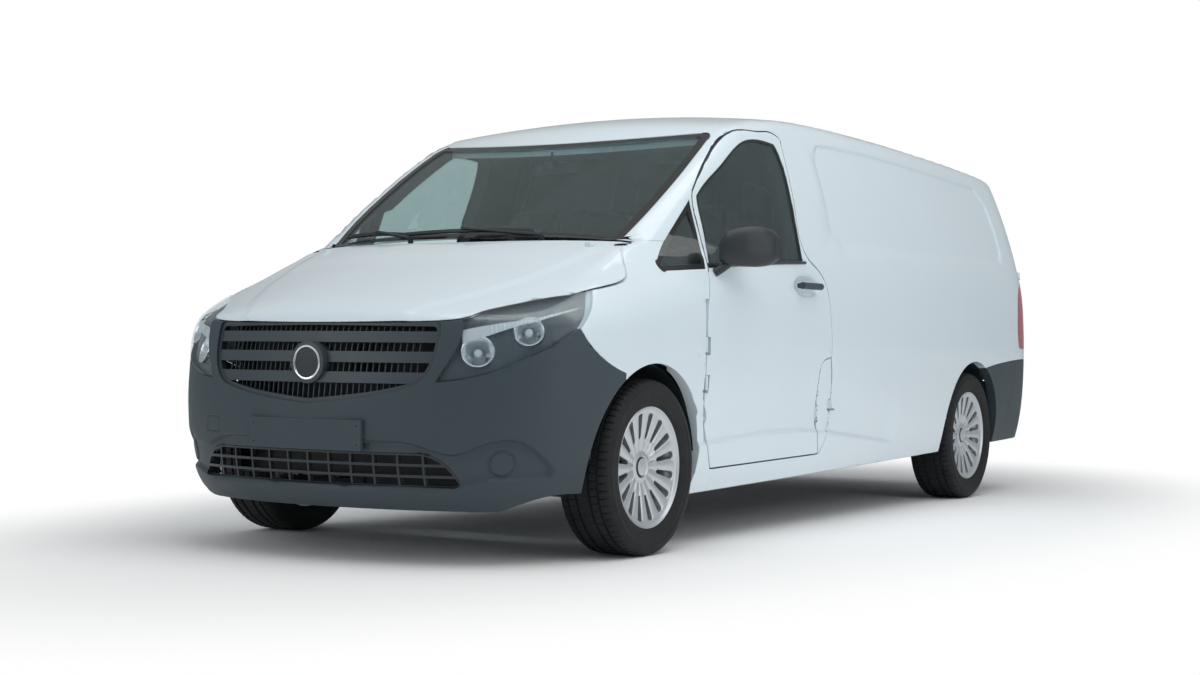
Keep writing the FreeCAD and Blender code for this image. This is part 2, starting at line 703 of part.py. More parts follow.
def build_bonnet(front_shell):
    half = front_shell.common(side_prism(bonnet_side(), -50, 1100, -GAP / 2))
    return half.common(plan_prism(bonnet_plan(), 800, 1400))


def build_bumper(front, inner):
    shell = front.common(bumper_front_region(-1.5)).cut(inner)
    tools = [front_prism(GRILLE, 2200, 2800), front_prism(LOWER_GRILLE, 2200, 2800),
             carrier_block(CARRIER_FIT), carrier_holes(CARRIER_HOLE_RADIUS + 1),
             side_prism(bonnet_side(), -50, 1100, GAP / 2),
             arch(FRONT_AXLE_X), box(2000, 2800, -50, 1100, 100, 196)]
    for tool in tools:
        shell = shell.cut(tool)
    return first_solid(shell)


def build_rear_door(outer, inner):
    half = outer.common(box(-2750, REAR_HEADER_X, -50, 1100, 400, 1900))
    half = half.common(rear_opening(-GAP / 2))
    return half.cut(inner)


def build_rear_bumper(outer, inner):
    half = outer.common(box(-2750, -1700, -50, 1100, 150, 800))
    half = half.common(bumper_rear_region(-1.5)).cut(inner)
    return half.cut(rear_opening(GAP / 2)).cut(sill_cut()).cut(arch(REAR_AXLE_X))


def build_tail_lamp(outer, inner):
    half = outer.common(box(-2750, -2250, 600, 1100, 700, 1300))
    half = half.common(tail_lamp_region(-1.0)).cut(rear_opening(GAP / 2))
    return half.cut(inner)


def build_windscreen(screen):
    glass = roof_volume(GLASS_INSET).common(screen)
    return glass.cut(roof_volume(GLASS_INSET + GLASS_WALL))


def rail_corners():
    """Corners of the roof rails, which the windscreen is drawn clear of."""
    x, y = RAIL_CORNER
    corner = box(x - 60, x, y, y + 60, 1600, 1800)
    return corner.fuse(box(x - 60, x, -y - 60, -y, 1600, 1800))


def shifted(shape, x, y, z):
    moved = shape.copy()
    moved.translate(V(x, y, z))
    return moved


def build_lens(front):
    nose_part = front.common(box(2000, 2800, 300, 1100, 500, 1300))
    lens = nose_part.common(side_prism(lamp_side(), 100, 1100, -1.5))
    return lens.cut(shifted(nose_part, -5, -4, -3))


def build_lamp(front):
    nose_part = front.common(box(2000, 2800, 300, 1100, 500, 1300))
    room = side_prism(lamp_side(), 100, 1100, -1.5)
    body = shifted(nose_part, -5.6, -4.5, -3.4).common(room)
    body = body.cut(shifted(nose_part, -110, -70, -10)).cut(box(2000, 2800, 0, LAMP_INNER_Y, 0, 1300))
    bowls = [((2545, 655, 778), 70), ((2432, 800, 846), 62)]
    for (x, y, z), r in bowls:
        bowl = Part.makeSphere(r)
        bowl.translate(V(x + 10, y + 10, z))
        body = body.cut(bowl)
    return first_solid(body)


def nose_x(y, z):
    """Reach of the nose at one point seen from the front."""
    k = 1 - (y / flank(z)) ** 2
    return SIDE_START_X + (nose(z) - SIDE_START_X) * k ** (1 / nose_power(z))


def nose_band(inset, wall, y1, z0, z1):
    """Curved wall set back from the nose and as wide as an opening."""
    wires = []
    steps = 12
    for i in range(4):
        z = z0 + (z1 - z0) * i / 3
        ys = [y1 * (2 * k / steps - 1) for k in range(steps + 1)]
        face = [(nose_x(y, z) - inset, y, z) for y in ys]
        back = [(x - wall, y, z) for x, y, _ in face]
        ends = [Part.makeLine(V(*face[0]), V(*back[0])), Part.makeLine(V(*face[-1]), V(*back[-1]))]
        edges = [spline(face, True), spline(back, True)] + ends
        wires.append(Part.Wire(Part.__sortEdges__(edges)))
    return Part.makeLoft(wires, True, False)


def shrunk(sections, centre_z, wide, high):
    """Outline drawn in toward its middle, as shares of its width and height."""
    return [[(y * wide, centre_z + (z - centre_z) * high) for y, z in run] for run in sections]


def build_grille():
    """Radiator grille: surround, three broad slats, fine ribs and the plain round boss."""
    mid = GRILLE_MIDDLE_Z
    opening = both(front_prism(GRILLE, 2200, 2800))
    seat = both(front_prism(shrunk(GRILLE, mid, 0.982, 0.95), 2200, 2800))
    inner = both(front_prism(shrunk(GRILLE, mid, 0.965, 0.88), 2200, 2800))
    lip = both(side_prism(bonnet_side(), -50, 1100, GAP / 2))
    frame = nose_band(10, 30, 530, 560, 885).common(eased(opening)).cut(inner)
    parts = []
    for low, high in GRILLE_SLATS:
        parts.append(nose_band(12, 26, 530, low, high).common(seat))
    ribs = []
    half = GRILLE_RIBS / 2
    for i in range(GRILLE_RIBS):
        y = (i + 0.5 - half) * RIB_PITCH
        ribs.append(box(2450, 2800, y - 2, y + 2, 560, 885))
    net = nose_band(30, 10, 530, 565, 880).common(seat)
    net = net.common(Part.makeCompound(ribs))
    boss = rod(BADGE_RADIUS, (2600, 0, 722), (NOSE_X - 13, 0, 722))
    return frame.multiFuse(parts + [net, boss]).cut(lip)


def build_lower_grille():
    opening = both(front_prism(LOWER_GRILLE, 2200, 2800))
    band = nose_band(16, 18, 625, 275, 412).common(eased(opening))
    inner = [[(y * 0.985, 344 + (z - 344) * 0.88) for y, z in run] for run in LOWER_GRILLE]
    frame = band.cut(both(front_prism(inner, 2200, 2800)))
    bars = [box(2300, 2800, -620, 620, z - 5, z + 5) for z in (322, 362)]
    for i in range(-5, 6):
        bars.append(box(2300, 2800, i * 95 - 4, i * 95 + 4, 270, 415))
    web = band.common(bars[0].multiFuse(bars[1:]))
    return frame.fuse(web)


def carrier_block(grow):
    back = NOSE_X - CARRIER_DEPTH - grow
    width = CARRIER_WIDTH / 2 + grow
    foot = CARRIER_Z - grow
    return box(back, NOSE_X + grow, -width, width, foot, CARRIER_Z + CARRIER_HEIGHT + grow)


def carrier_holes(radius):
    holes = []
    for y in (-CARRIER_HOLE_Y, CARRIER_HOLE_Y):
        for z in CARRIER_HOLE_Z:
            holes.append(rod(radius, (NOSE_X - 100, y, z), (NOSE_X + 100, y, z)))
    return Part.makeCompound(holes)


def build_carrier():
    """Flat blank plate carrier, let into the curved bumper and drilled at its corners."""
    return carrier_block(0).cut(carrier_holes(CARRIER_HOLE_RADIUS))


def bowed_strip(profile, rows):
    wires = []
    for y in rows:
        shift = -0.000204 * y * y
        pts = [V(x + shift, y, z) for x, z in profile]
        wires.append(Part.makePolygon(pts + [pts[0]]))
    return Part.makeLoft(wires, True, False)


def build_cowl():
    profile = [(1630, 1156), (1850, 1128), (1852, 1140), (1800, 1158), (1764, 1166), (1742, 1180),
               (1700, 1190), (1640, 1190)]
    strip = bowed_strip(profile, [-650, -400, -150, 0, 150, 400, 650])
    for y in (-1, 1):
        slot = box(1660, 1860, y * 652 - 16, y * 652 + 16, 1120, 1200)
        strip = strip.cut(slot)
    return strip


def build_floor():
    """Load floor, cab floor with its toe board, sills and the rails under them."""
    wide = flank(FLOOR_Z) - WALL - SEAT_GAP
    plan = [(140, 0), (140, wide), (-2000, wide), (-2380, wide - 18), (-2470, wide - 46), (-2470, 0)]
    deck = Part.Face(Part.makePolygon([V(x, y, FLOOR_Z) for x, y in plan + plan[:1]]))
    deck = deck.extrude(V(0, 0, DECK_WALL))
    rear = arch(REAR_AXLE_X, ARCH_RADIUS + 2, 420)
    front = arch(FRONT_AXLE_X, ARCH_RADIUS + 2, 420)
    low = CAB_FLOOR_Z
    cab = box(110, TOE_X, 0, SILL_Y, low, low + DECK_WALL)
    toe = box(TOE_X - 40, TOE_X, 0, 770, low, 640)
    riser = box(110, 142, 0, SILL_Y, low, FLOOR_Z + DECK_WALL)
    rail = box(-2460, 110, RAIL_Y, RAIL_Y + 90, 262, FLOOR_Z)
    cab_rail = box(110, 1300, RAIL_Y, RAIL_Y + 90, 262, low)
    rocker = box(-1150, FENDER_REAR_X, 770, SILL_Y, 245, 300)
    parts = [cab, toe, riser, rail, cab_rail, rocker]
    for x in (-1000, -300, 400, 1050):
        parts.append(box(x, x + 80, RAIL_Y, SILL_Y, 262, low))
    return both(deck.multiFuse(parts).cut(rear).cut(front))


def build_liner(x, depth, foot, slot):
    """Lining of one wheel arch, with a slot in its inner wall for what passes to the wheel."""
    ring = rod(ARCH_RADIUS - 1, (x, 905 - depth, TYRE_RADIUS), (x, 905, TYRE_RADIUS))
    ring = ring.cut(rod(ARCH_RADIUS - 5, (x, 500 - depth, TYRE_RADIUS), (x, 1000, TYRE_RADIUS)))
    cap = rod(ARCH_RADIUS - 2, (x, 905 - depth, TYRE_RADIUS), (x, 909 - depth, TYRE_RADIUS))
    passage = box(x - 60, x + 60, 900 - depth, 915 - depth, 0, slot)
    return ring.fuse(cap).cut(box(x - 500, x + 500, 0, 1100, -200, foot)).cut(passage)


def build_mirror():
    """Swept mirror head on an arm that stands on the door below the window."""
    wires = []
    for y, x, w, z, h in MIRROR_RINGS:
        pts = []
        for i in range(8):
            a = 2 * math.pi * i / 8
            c = math.cos(a)
            q = math.sin(a)
            px = x + w / 2 * math.copysign(abs(c) ** 0.7, c)
            pz = z + h / 2 * math.copysign(abs(q) ** 0.7, q)
            pts.append((px, y, pz))
        curve = Part.BSplineCurve()
        curve.interpolate(Points=[V(*q) for q in pts], PeriodicFlag=True)
        wires.append(Part.Wire(curve.toShape()))
    return Part.makeLoft(wires, True, False).fuse(rod(MIRROR_ARM, *MIRROR_ARM_LINE))


def build_knuckle(x, y):
    """Left front hub carrier with its stub for the wheel, bored for the king pin."""
    z = TYRE_RADIUS
    ky = y - KINGPIN_OFFSET
    face_y = y + RIM_WIDTH / 2 - 12 - 60
    flange = rod(HUB_RADIUS - 4, (x, face_y - 14, z), (x, face_y - HUB_GAP, z))
    spigot = rod(SPIGOT_RADIUS, (x, face_y - 14, z), (x, face_y + 30, z))
    disc = rod(140, (x, face_y - 40, z), (x, face_y - 14, z))
    carrier = box(x - 45, x + 45, ky - 26, face_y - 30, z - 60, z + 60)
    column = rod(24, (x, ky, z - 95), (x, ky, z + 95))
    knuckle = carrier.multiFuse([flange, spigot, disc, column])
    bore = rod(KINGPIN_RADIUS + HINGE_PLAY, (x, ky, z - 110), (x, ky, z + 110))
    return knuckle.cut(bore)


def build_subframe(x, y):
    """Front cross-member with lower and upper arms that end in the king pins."""
    z = TYRE_RADIUS
    ky = y - KINGPIN_OFFSET
    pins = []
    for low, high in [(z - 150, z - 60), (z + 60, z + 150)]:
        pins.append(rod(KINGPIN_RADIUS, (x, ky, low), (x, ky, high)))
    lower = box(x - 30, x + 30, 380, ky + 18, z - 128, z - 101)
    lower = lower.fuse(box(x - 190, x + 60, 380, 440, z - 128, z - 101))
    upper = box(x - 24, x + 24, 380, ky + 18, z + 101, z + 124)
    tower = box(x - 70, x + 70, 380, 440, z - 128, z + 330)
    beam = box(x - 90, x + 60, 0, 440, z - 128, z - 70)
    rail = box(TOE_X, x + 720, 395, 455, z + 150, z + 240)
    rail = rail.fuse(box(TOE_X, TOE_X + 60, 395, 505, z - 10, z + 240))
    half = beam.multiFuse([lower, upper, tower, rail] + pins)
    nose_beam = box(x + 660, x + 720, 0, 455, z + 150, z + 240)
    return both(half.fuse(nose_beam))


def build_rear_axle(x, y):
    z = TYRE_RADIUS
    face_y = y + RIM_WIDTH / 2 - 12 - 60
    tube = rod(42, (x, 0, z), (x, face_y - 60, z))
    disc = rod(140, (x, face_y - 60, z), (x, face_y - 20, z))
    flange = rod(HUB_RADIUS - 4, (x, face_y - 20, z), (x, face_y - HUB_GAP, z))
    spigot = rod(SPIGOT_RADIUS, (x, face_y - 20, z), (x, face_y + 30, z))
    arm = rod(26, (x, 480, z - 10), (x + 560, 480, 300))
    mount = box(x + 520, x + 600, 450, RAIL_Y, 270, 330)
    damper = rod(24, (x - 60, 480, z), (x - 60, 480, FLOOR_Z))
    return both(tube.multiFuse([disc, flange, spigot, arm, mount, damper]))


def build_steering_wheel():
    ring = Part.makeTorus(STEERING_WHEEL_RADIUS, 15, V(0, 0, 0), V(0, 0, 1))
    boss = rod(58, (0, 0, -38), (0, 0, -2))
    spokes = [box(-16, 16, 40, STEERING_WHEEL_RADIUS - 6, -16, -6)]
    spokes.append(spokes[0].mirror(V(0, 0, 0), V(0, 1, 0)))
    spokes.append(box(-STEERING_WHEEL_RADIUS + 6, -40, -18, 18, -16, -6))
    wheel = ring.multiFuse([boss] + spokes)
    wheel = wheel.cut(rod(14 + HINGE_PLAY, (0, 0, -60), (0, 0, -12)))
    wheel.rotate(V(0, 0, 0), V(0, 1, 0), -COLUMN_ANGLE)
    wheel.translate(V(*COLUMN_TOP))
    return wheel


def build_dashboard():
    prof = [(1490, 800), (1490, 1120), (1400, 1130), (1290, 1110), (1235, 1060), (1215, 980),
            (1250, 900), (1300, 800)]
    pts = [V(a, -760, b) for a, b in prof]
    dash = Part.Face(Part.makePolygon(pts + [pts[0]])).extrude(V(0, 1520, 0))
    dash = dash.fuse(box(1360, 1490, -760, 760, 640, 810))
    column = rod(14, (0, 0, -420), (0, 0, -14)).fuse(rod(34, (0, 0, -420), (0, 0, -50)))
    column.rotate(V(0, 0, 0), V(0, 1, 0), -COLUMN_ANGLE)
    column.translate(V(*COLUMN_TOP))
    binnacle = box(1225, 1400, COLUMN_TOP[1] - 170, COLUMN_TOP[1] + 170, 1060, 1155)
    return dash.multiFuse([column, binnacle])


def seat(y0, y1):
    base = box(560, 1000, y0 + 40, y1 - 40, CAB_FLOOR_Z + DECK_WALL, 560)
    cushion = box(520, 1010, y0, y1, 555, 690)
    cushion = cushion.makeFillet(35, [e for e in cushion.Edges if e.BoundBox.ZMin > 600])
    prof = [(500, 690), (620, 690), (470, 1290), (370, 1290)]
    pts = [V(a, y0, b) for a, b in prof]
    back = Part.Face(Part.makePolygon(pts + [pts[0]])).extrude(V(0, y1 - y0, 0))
    back = back.makeFillet(28, back.Edges)
    parts = [cushion, back]
    n = 1 if y1 - y0 < 600 else 2
    for i in range(n):
        mid = y0 + (y1 - y0) * (2 * i + 1) / (2 * n)
        rest = box(340, 430, mid - 130, mid + 130, 1310, 1460)
        rest = rest.makeFillet(35, rest.Edges)
        parts.append(rest)
        parts.append(rod(7, (415, mid - 60, 1270), (392, mid - 60, 1330)))
        parts.append(rod(7, (415, mid + 60, 1270), (392, mid + 60, 1330)))
    return base.multiFuse(parts)


def build_wipers():
    """Two arms and blades parked along the foot of the windscreen."""
    out = []
    for py, tip in [(395, 700), (-235, 420)]:
        x0 = 1752 - 0.000204 * py * py
        pivot = rod(11, (x0 + 4, py, 1184), (x0 + 14, py, 1228))
        my = py - tip * 0.55
        a = (x0 + 14, py, 1228)
        b = (1730 - 0.000204 * my * my, my, 1264)
        arm = rod(7, a, b)
        ya = py - 60
        yb = py - tip
        wires = []
        for i in range(6):
            y = ya + (yb - ya) * i / 5
            x = 1726 - 0.000204 * y * y
            z = 1246 + 8 * math.sin(math.pi * i / 5)
            corners = [V(x - 6, y, z - 8), V(x + 7, y, z - 4), V(x + 4, y, z + 8), V(x - 5, y, z + 4)]
            wires.append(Part.makePolygon(corners + [corners[0]]))
        blade = Part.makeLoft(wires, True, True)
        out.append(pivot.multiFuse([arm, blade]))
    return Part.makeCompound(out)


def build_seats():
    driver = seat(170, 640)
    pair_seat = seat(-690, 90)
    return Part.makeCompound([driver, pair_seat])


def build_exhaust():
    """Pipe from the engine to the tail, over the rear axle, hung from the floor."""
    y = -300
    low = CAB_FLOOR_Z - PIPE_RADIUS - 12
    high = FLOOR_Z - PIPE_RADIUS - 2
    stops = [(2000, y, low), (-1150, y, low), (-1250, y, high), (-2000, y, high), (-2560, -420, 330)]
    pipes = [rod(PIPE_RADIUS, a, b) for a, b in zip(stops, stops[1:])]
    box_z = CAB_FLOOR_Z - SILENCER_RADIUS - 5
    silencer = rod(SILENCER_RADIUS, (700, y, box_z), (150, y, box_z))
    hangers = [rod(6, (x, y, low), (x, y, CAB_FLOOR_Z)) for x in (500, 250)]
    hangers.append(rod(6, (-700, y, low), (-700, y, FLOOR_Z)))
    return silencer.multiFuse(pipes + hangers)


def build_tank():
    tank = box(-900, 60, 130, 500, 262, 420)
    tank = tank.makeFillet(25, tank.Edges)
    straps = [box(x, x + 40, 125, RAIL_Y + 40, 258, 262) for x in (-700, -200)]
    straps += [box(x, x + 40, 124, 130, 258, FLOOR_Z) for x in (-700, -200)]
    return tank.multiFuse(straps)


def build_engine():
    block = box(1640, 2330, -240, 260, 330, 880)
    block = block.makeFillet(30, block.Edges)
    return block.cut(box(1600, 2400, -300, 300, 600, 900)).fuse(box(1700, 2280, -200, 230, 590, 860))


def main():
    outer, front = build_form()
    rear_inner = rear_half(WALL)
    door_inner = rear_half(DOOR_WALL)
    front_inner = front_half(PANEL_WALL)
    rear_shell = outer.cut(rear_inner)
    front_shell = front.cut(front_inner)
    screen = plan_prism(screen_outline(), 1100, 1900)

    left = build_side(rear_shell)
    save("side_panel_left", left)
    right = left.cut(sliding_prism(2.5))
    save("side_panel_right", mirrored(right))
    sliding = rear_shell.common(sliding_prism(-2.5)).cut(roof_plan(1.0))
    save("sliding_door", mirrored(sliding))
    roof = rear_shell.common(roof_plan(-1.0)).cut(screen)
    save("roof_panel", both(roof))
    hinge, room = build_hinge_pins()
    cowl = build_cowl()
    wing = first_solid(build_fender(rear_shell, front_shell).cut(room).cut(cowl))
    save("front_fenders", pair(wing))
    save("door_pins", pair(hinge))
    save("front_bumper", both(build_bumper(front, front_inner)))

    glass_prism = side_prism(DOOR_GLASS, 500, 1100)
    door = outer.common(door_outline(-GAP / 2)).cut(door_inner)
    door = door.cut(box(0, 1500, 400, DOOR_INNER_Y, 1000, 1900))
    door = door.cut(edge_room(LEAN_FOOT, 20, LEAN_STEP))
    door = hang_door(door.cut(glass_prism))
    save("door_left", door)
    save("door_right", mirrored(door))
    glass = side_volume(GLASS_INSET).cut(side_volume(GLASS_INSET + GLASS_WALL))
    pane = eased(glass.common(glass_prism))
    save("door_glass_left", pane)
    save("door_glass_right", mirrored(pane))
    quarter = first_solid(glass.common(quarter_prism()))
    save("quarter_windows", pair(eased(quarter, 2 * SEAT_GAP, quarter.CenterOfMass)))
    save("windscreen", eased(both(build_windscreen(screen))).cut(rail_corners()))

    mirror = build_mirror().cut(outer)
    save("mirror_left", mirror)
    save("mirror_right", mirrored(mirror))
    grip = Part.makeCylinder(15, 190, V(385, 985, 1060), V(1, 0, 0))
    feet = [rod(11, (400, 950, 1060), (400, 985, 1060)), rod(11, (560, 950, 1060), (560, 985, 1060))]
    handle = grip.multiFuse(feet).cut(outer.common(box(300, 700, 900, 1000, 1000, 1120)))
    save("door_handle_left", handle)
    save("door_handle_right", mirrored(handle))

    # Bonnet on two arms to pins in the scuttle
    bonnet = both(build_bonnet(front_shell))
    bx, bz = BONNET_HINGE
    y0, y1 = BONNET_HINGE_Y
    arm = box(bx, 1800, y0, y1, bz - 24, bz - 12).fuse(rod(9, (bx, y0, bz), (bx, y1, bz)))
    arm = arm.fuse(box(bx - 4, bx + 4, y0, y1, bz - 18, bz))
    arm = arm.fuse(box(1740, 1800, y0, y1, bz - 24, bz + 4))
    arm = arm.cut(rod(5 + HINGE_PLAY, (bx, 600, bz), (bx, 700, bz)))
    bonnet = bonnet.multiFuse([arm, mirrored(arm)])
    save("bonnet", bonnet)
    pin = rod(5, (bx, y0 - 10, bz), (bx, y1 + 14, bz))
    post = box(bx - 12, bx + 12, y0 - 28, y0 - 4, 1120, bz + 6)
    wipers = build_wipers()
    save("wipers", wipers)
    scuttle = cowl.multiFuse([pin, mirrored(pin), post, mirrored(post)])
    save("scuttle", scuttle.cut(wipers))

    save("rear_bumper", both(build_rear_bumper(outer, rear_inner)))
    tail_door = build_rear_door(outer, rear_inner)
    rx, ry = REAR_HINGE
    pins = []
    for z in REAR_HINGE_Z:
        top = z + REAR_KNUCKLE
        sleeve = rod(9, (rx, ry, z), (rx, ry, top))
        leaf = box(rx - 8, rx + 8, ry - 62, ry, z, top)
        if z > 1000:
            leaf = leaf.fuse(box(rx - 8, rx + 70, ry - 66, ry - 50, z, top))
        bore = rod(5 + HINGE_PLAY, (rx, ry, z - 9), (rx, ry, top + 9))
        tail_door = tail_door.fuse(sleeve.fuse(leaf)).cut(bore)
        pin = rod(5, (rx, ry, z - 7), (rx, ry, top - 4))
        ear = box(rx - 6, rx + 90, ry - 5, ry + 8, z - 7, z - 0.5)
        pins.append(pin.fuse(ear).cut(outer))
    save("rear_door_pins", pair(Part.makeCompound(pins)))
    save("rear_door_left", tail_door)
    save("rear_door_right", mirrored(tail_door))
    save("tail_lamps", pair(build_tail_lamp(outer, rear_inner)))
    save("headlamp_lenses", pair(build_lens(front)))
    save("headlamps", pair(build_lamp(front)))
    save("radiator_grille", build_grille())
    save("lower_grille", build_lower_grille())
    save("plate_carrier", build_carrier())
    save("load_floor", build_floor())
    wall = rear_inner.common(box(118, 143, 0, 1000, FLOOR_Z + DECK_WALL, 1900))
    save("partition", eased(both(wall)))

    for name, x, y, side in [("fl", FRONT_AXLE_X, FRONT_TRACK_Y, 1),
                             ("fr", FRONT_AXLE_X, -FRONT_TRACK_Y, -1),
                             ("rl", REAR_AXLE_X, REAR_TRACK_Y, 1),
                             ("rr", REAR_AXLE_X, -REAR_TRACK_Y, -1)]:
        save("tyre_" + name, tyre(x, y))
        save("rim_" + name, wheel_disc(x, y, side))
    liners = []
    for x, depth, foot, slot in [(FRONT_AXLE_X, 390, 380, 470), (REAR_AXLE_X, 340, 300, 382)]:
        liners.append(build_liner(x, depth, foot, slot))
    save("wheel_housings", pair(Part.makeCompound(liners)))
    knuckle = build_knuckle(FRONT_AXLE_X, FRONT_TRACK_Y)
    save("knuckle_left", knuckle)
    save("knuckle_right", mirrored(knuckle))
    save("front_subframe", build_subframe(FRONT_AXLE_X, FRONT_TRACK_Y))
    save("rear_axle", build_rear_axle(REAR_AXLE_X, REAR_TRACK_Y))
    save("steering_wheel", build_steering_wheel())
    save("dashboard", build_dashboard())
    save("seats", build_seats())
    save("engine_block", build_engine())
    save("exhaust", build_exhaust())
    save("fuel_tank", build_tank())

    fx, fy = FLAP_HINGE
    back = [(flank(z) - FLAP_WALL, z) for z in (300, 400, 500, 600, 700, 760)]
    room = front_prism([back, [back[-1], (500, 760)], [(500, 760), (500, 300)], [(500, 300), back[0]]],
                       100, 400)
    flap = outer.common(side_prism(FLAP, 500, 1100, -GAP / 2)).cut(room)
    corner = [(186, 630), (198, 630), (223, 752), (186, 752)]
    corner = Part.Face(Part.makePolygon([V(x, 800, z) for x, z in corner + corner[:1]]))
    flap = flap.cut(corner.extrude(V(0, 300, 0)))
    flap = flap.cut(box(fx - 10, fx + 9, fy - 18, fy + 10, 508, 562))
    knuckle = rod(5, (fx, fy, 520), (fx, fy, 560)).fuse(box(fx - 3, fx + 30, fy - 12, fy, 520, 560))
    flap = flap.fuse(knuckle).cut(rod(2.5 + HINGE_PLAY, (fx, fy, 500), (fx, fy, 580)))
    fpin = rod(2.5, (fx, fy, 512), (fx, fy, 556))
    fpin = fpin.fuse(box(fx - 34, fx + 3, fy - 14, fy + 3, 512, 519.5)).cut(left)
    save("fuel_flap_pin", fpin)
    save("fuel_flap", flap)


main()
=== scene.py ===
"""Panel van: finishes and fine forms dressed around its construction frame."""
import json
import math

import bmesh
import bpy
import numpy as np
from mathutils import Matrix, Vector
from mathutils.geometry import delaunay_2d_cdt

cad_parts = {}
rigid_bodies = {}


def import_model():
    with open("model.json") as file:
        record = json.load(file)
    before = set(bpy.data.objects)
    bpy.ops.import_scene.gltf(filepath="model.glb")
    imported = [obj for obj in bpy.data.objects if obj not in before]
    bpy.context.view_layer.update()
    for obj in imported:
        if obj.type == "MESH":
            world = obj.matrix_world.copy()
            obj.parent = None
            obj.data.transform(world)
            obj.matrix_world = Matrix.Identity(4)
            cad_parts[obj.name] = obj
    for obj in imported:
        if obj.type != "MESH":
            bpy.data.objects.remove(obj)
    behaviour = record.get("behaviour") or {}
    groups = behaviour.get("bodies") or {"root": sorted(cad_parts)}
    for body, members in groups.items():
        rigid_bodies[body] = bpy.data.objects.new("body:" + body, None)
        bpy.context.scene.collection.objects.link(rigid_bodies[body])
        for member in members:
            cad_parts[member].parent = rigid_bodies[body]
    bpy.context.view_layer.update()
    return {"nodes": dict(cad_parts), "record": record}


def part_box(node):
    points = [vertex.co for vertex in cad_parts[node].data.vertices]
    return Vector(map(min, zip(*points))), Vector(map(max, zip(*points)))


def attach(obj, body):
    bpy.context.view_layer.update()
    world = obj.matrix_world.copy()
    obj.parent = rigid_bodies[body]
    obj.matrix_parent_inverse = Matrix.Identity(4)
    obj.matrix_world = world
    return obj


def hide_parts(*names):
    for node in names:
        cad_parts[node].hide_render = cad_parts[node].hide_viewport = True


bl_info = {
    "name": "Panel van",
    "version": (1, 0, 0),
    "blender": (4, 5, 0),
    "location": "3D View > Sidebar > Panel van",
    "description": "Dresses the van's construction frame with panels, glass, lamps, wheels and trim",
    "category": "Object",
}

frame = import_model()
MM = 0.001

# The body's form, in millimetres: X forward, Y left, Z up
LENGTH = 5370.0
SIDE_START_X = 500.0
TAIL_START_X = -1500.0
TAIL_POWER = 16.0
TAIL_ROUND = 2.4
FLANK = [(180, 868), (260, 903), (400, 936), (600, 956), (850, 964), (1000, 962), (1120, 952),
         (1250, 926), (1400, 888), (1550, 843), (1700, 790), (1800, 750), (1900, 705)]
NOSE = [(180, 110), (230, 45), (300, 15), (450, 0), (560, 2), (700, 17), (880, 57), (1000, 85),
        (1200, 125), (1500, 185), (1900, 285)]
NOSE_POWER = [(180, 10.5), (850, 10.5), (1000, 5.5), (1080, 3.4), (1200, 2.3), (1450, 2.0),
              (1900, 1.9)]
TAIL = [(180, 95), (260, 25), (400, 2), (520, 0), (700, 5), (1000, 30), (1300, 55), (1600, 100),
        (1800, 150), (1900, 185)]
CROWN = [(1900, 1108), (1785, 1190), (1600, 1325), (1385, 1468), (1185, 1594), (986, 1707),
         (860, 1762), (700, 1803), (450, 1845), (150, 1870), (-250, 1880), (-800, 1877),
         (-1500, 1860), (-2100, 1832), (-2500, 1800), (-2700, 1775)]
SCREEN_BOW = [(-2700, 0), (150, 0), (450, 20), (700, 55), (986, 90), (1785, 100), (1900, 100)]
ROOF_DROP = [(-2700, 50), (-300, 46), (300, 42), (700, 28), (986, 8), (1785, 0), (1900, 0)]
BONNET = [(1100, 1400), (1400, 1320), (1650, 1250), (1746, 1221), (1900, 1171), (2050, 1117),
          (2200, 1066), (2400, 996), (2520, 950), (2590, 914), (2625, 884), (2650, 850)]
BONNET_FALL = [(1100, 55), (1700, 55), (2050, 75), (2570, 133), (2700, 140)]
CAB_END_X = 1730.0


def curve(points, soften=0.0):
    """Smooth curve through points for arrays, rounded over a length where asked."""
    pts = sorted(points)
    xs = np.array([p[0] for p in pts], float)
    ys = np.array([p[1] for p in pts], float)
    slope = np.diff(ys) / np.diff(xs)
    a, b = slope[:-1], slope[1:]
    with np.errstate(divide="ignore", invalid="ignore"):
        mid = np.where(a * b <= 0, 0.0, 2 * a * b / (a + b))
    m = np.concatenate([slope[:1], mid, slope[-1:]])

    def exact(x):
        i = np.clip(np.searchsorted(xs, x, side="right") - 1, 0, len(xs) - 2)
        h = xs[i + 1] - xs[i]
        t = (x - xs[i]) / h
        c = np.clip(t, 0, 1)
        y = (2 * c ** 3 - 3 * c ** 2 + 1) * ys[i] + (c ** 3 - 2 * c ** 2 + c) * h * m[i]
        y = y + (3 * c ** 2 - 2 * c ** 3) * ys[i + 1] + (c ** 3 - c ** 2) * h * m[i + 1]
        return y + np.minimum(t, 0) * h * m[i] + np.maximum(t - 1, 0) * h * m[i + 1]

    step = 2.0
    grid = np.arange(xs[0] - 400, xs[-1] + 400, step)
    values = exact(grid)
    if soften:
        reach = int(3 * soften / step)
        k = np.exp(-0.5 * (np.arange(-reach, reach + 1) * step / soften) ** 2)
        padded = np.concatenate([exact(grid[0] - step * np.arange(reach, 0, -1)), values,
                                 exact(grid[-1] + step * np.arange(1, reach + 1))])
        values = np.convolve(padded, k / k.sum(), "valid")
    return lambda x: np.interp(x, grid, values)


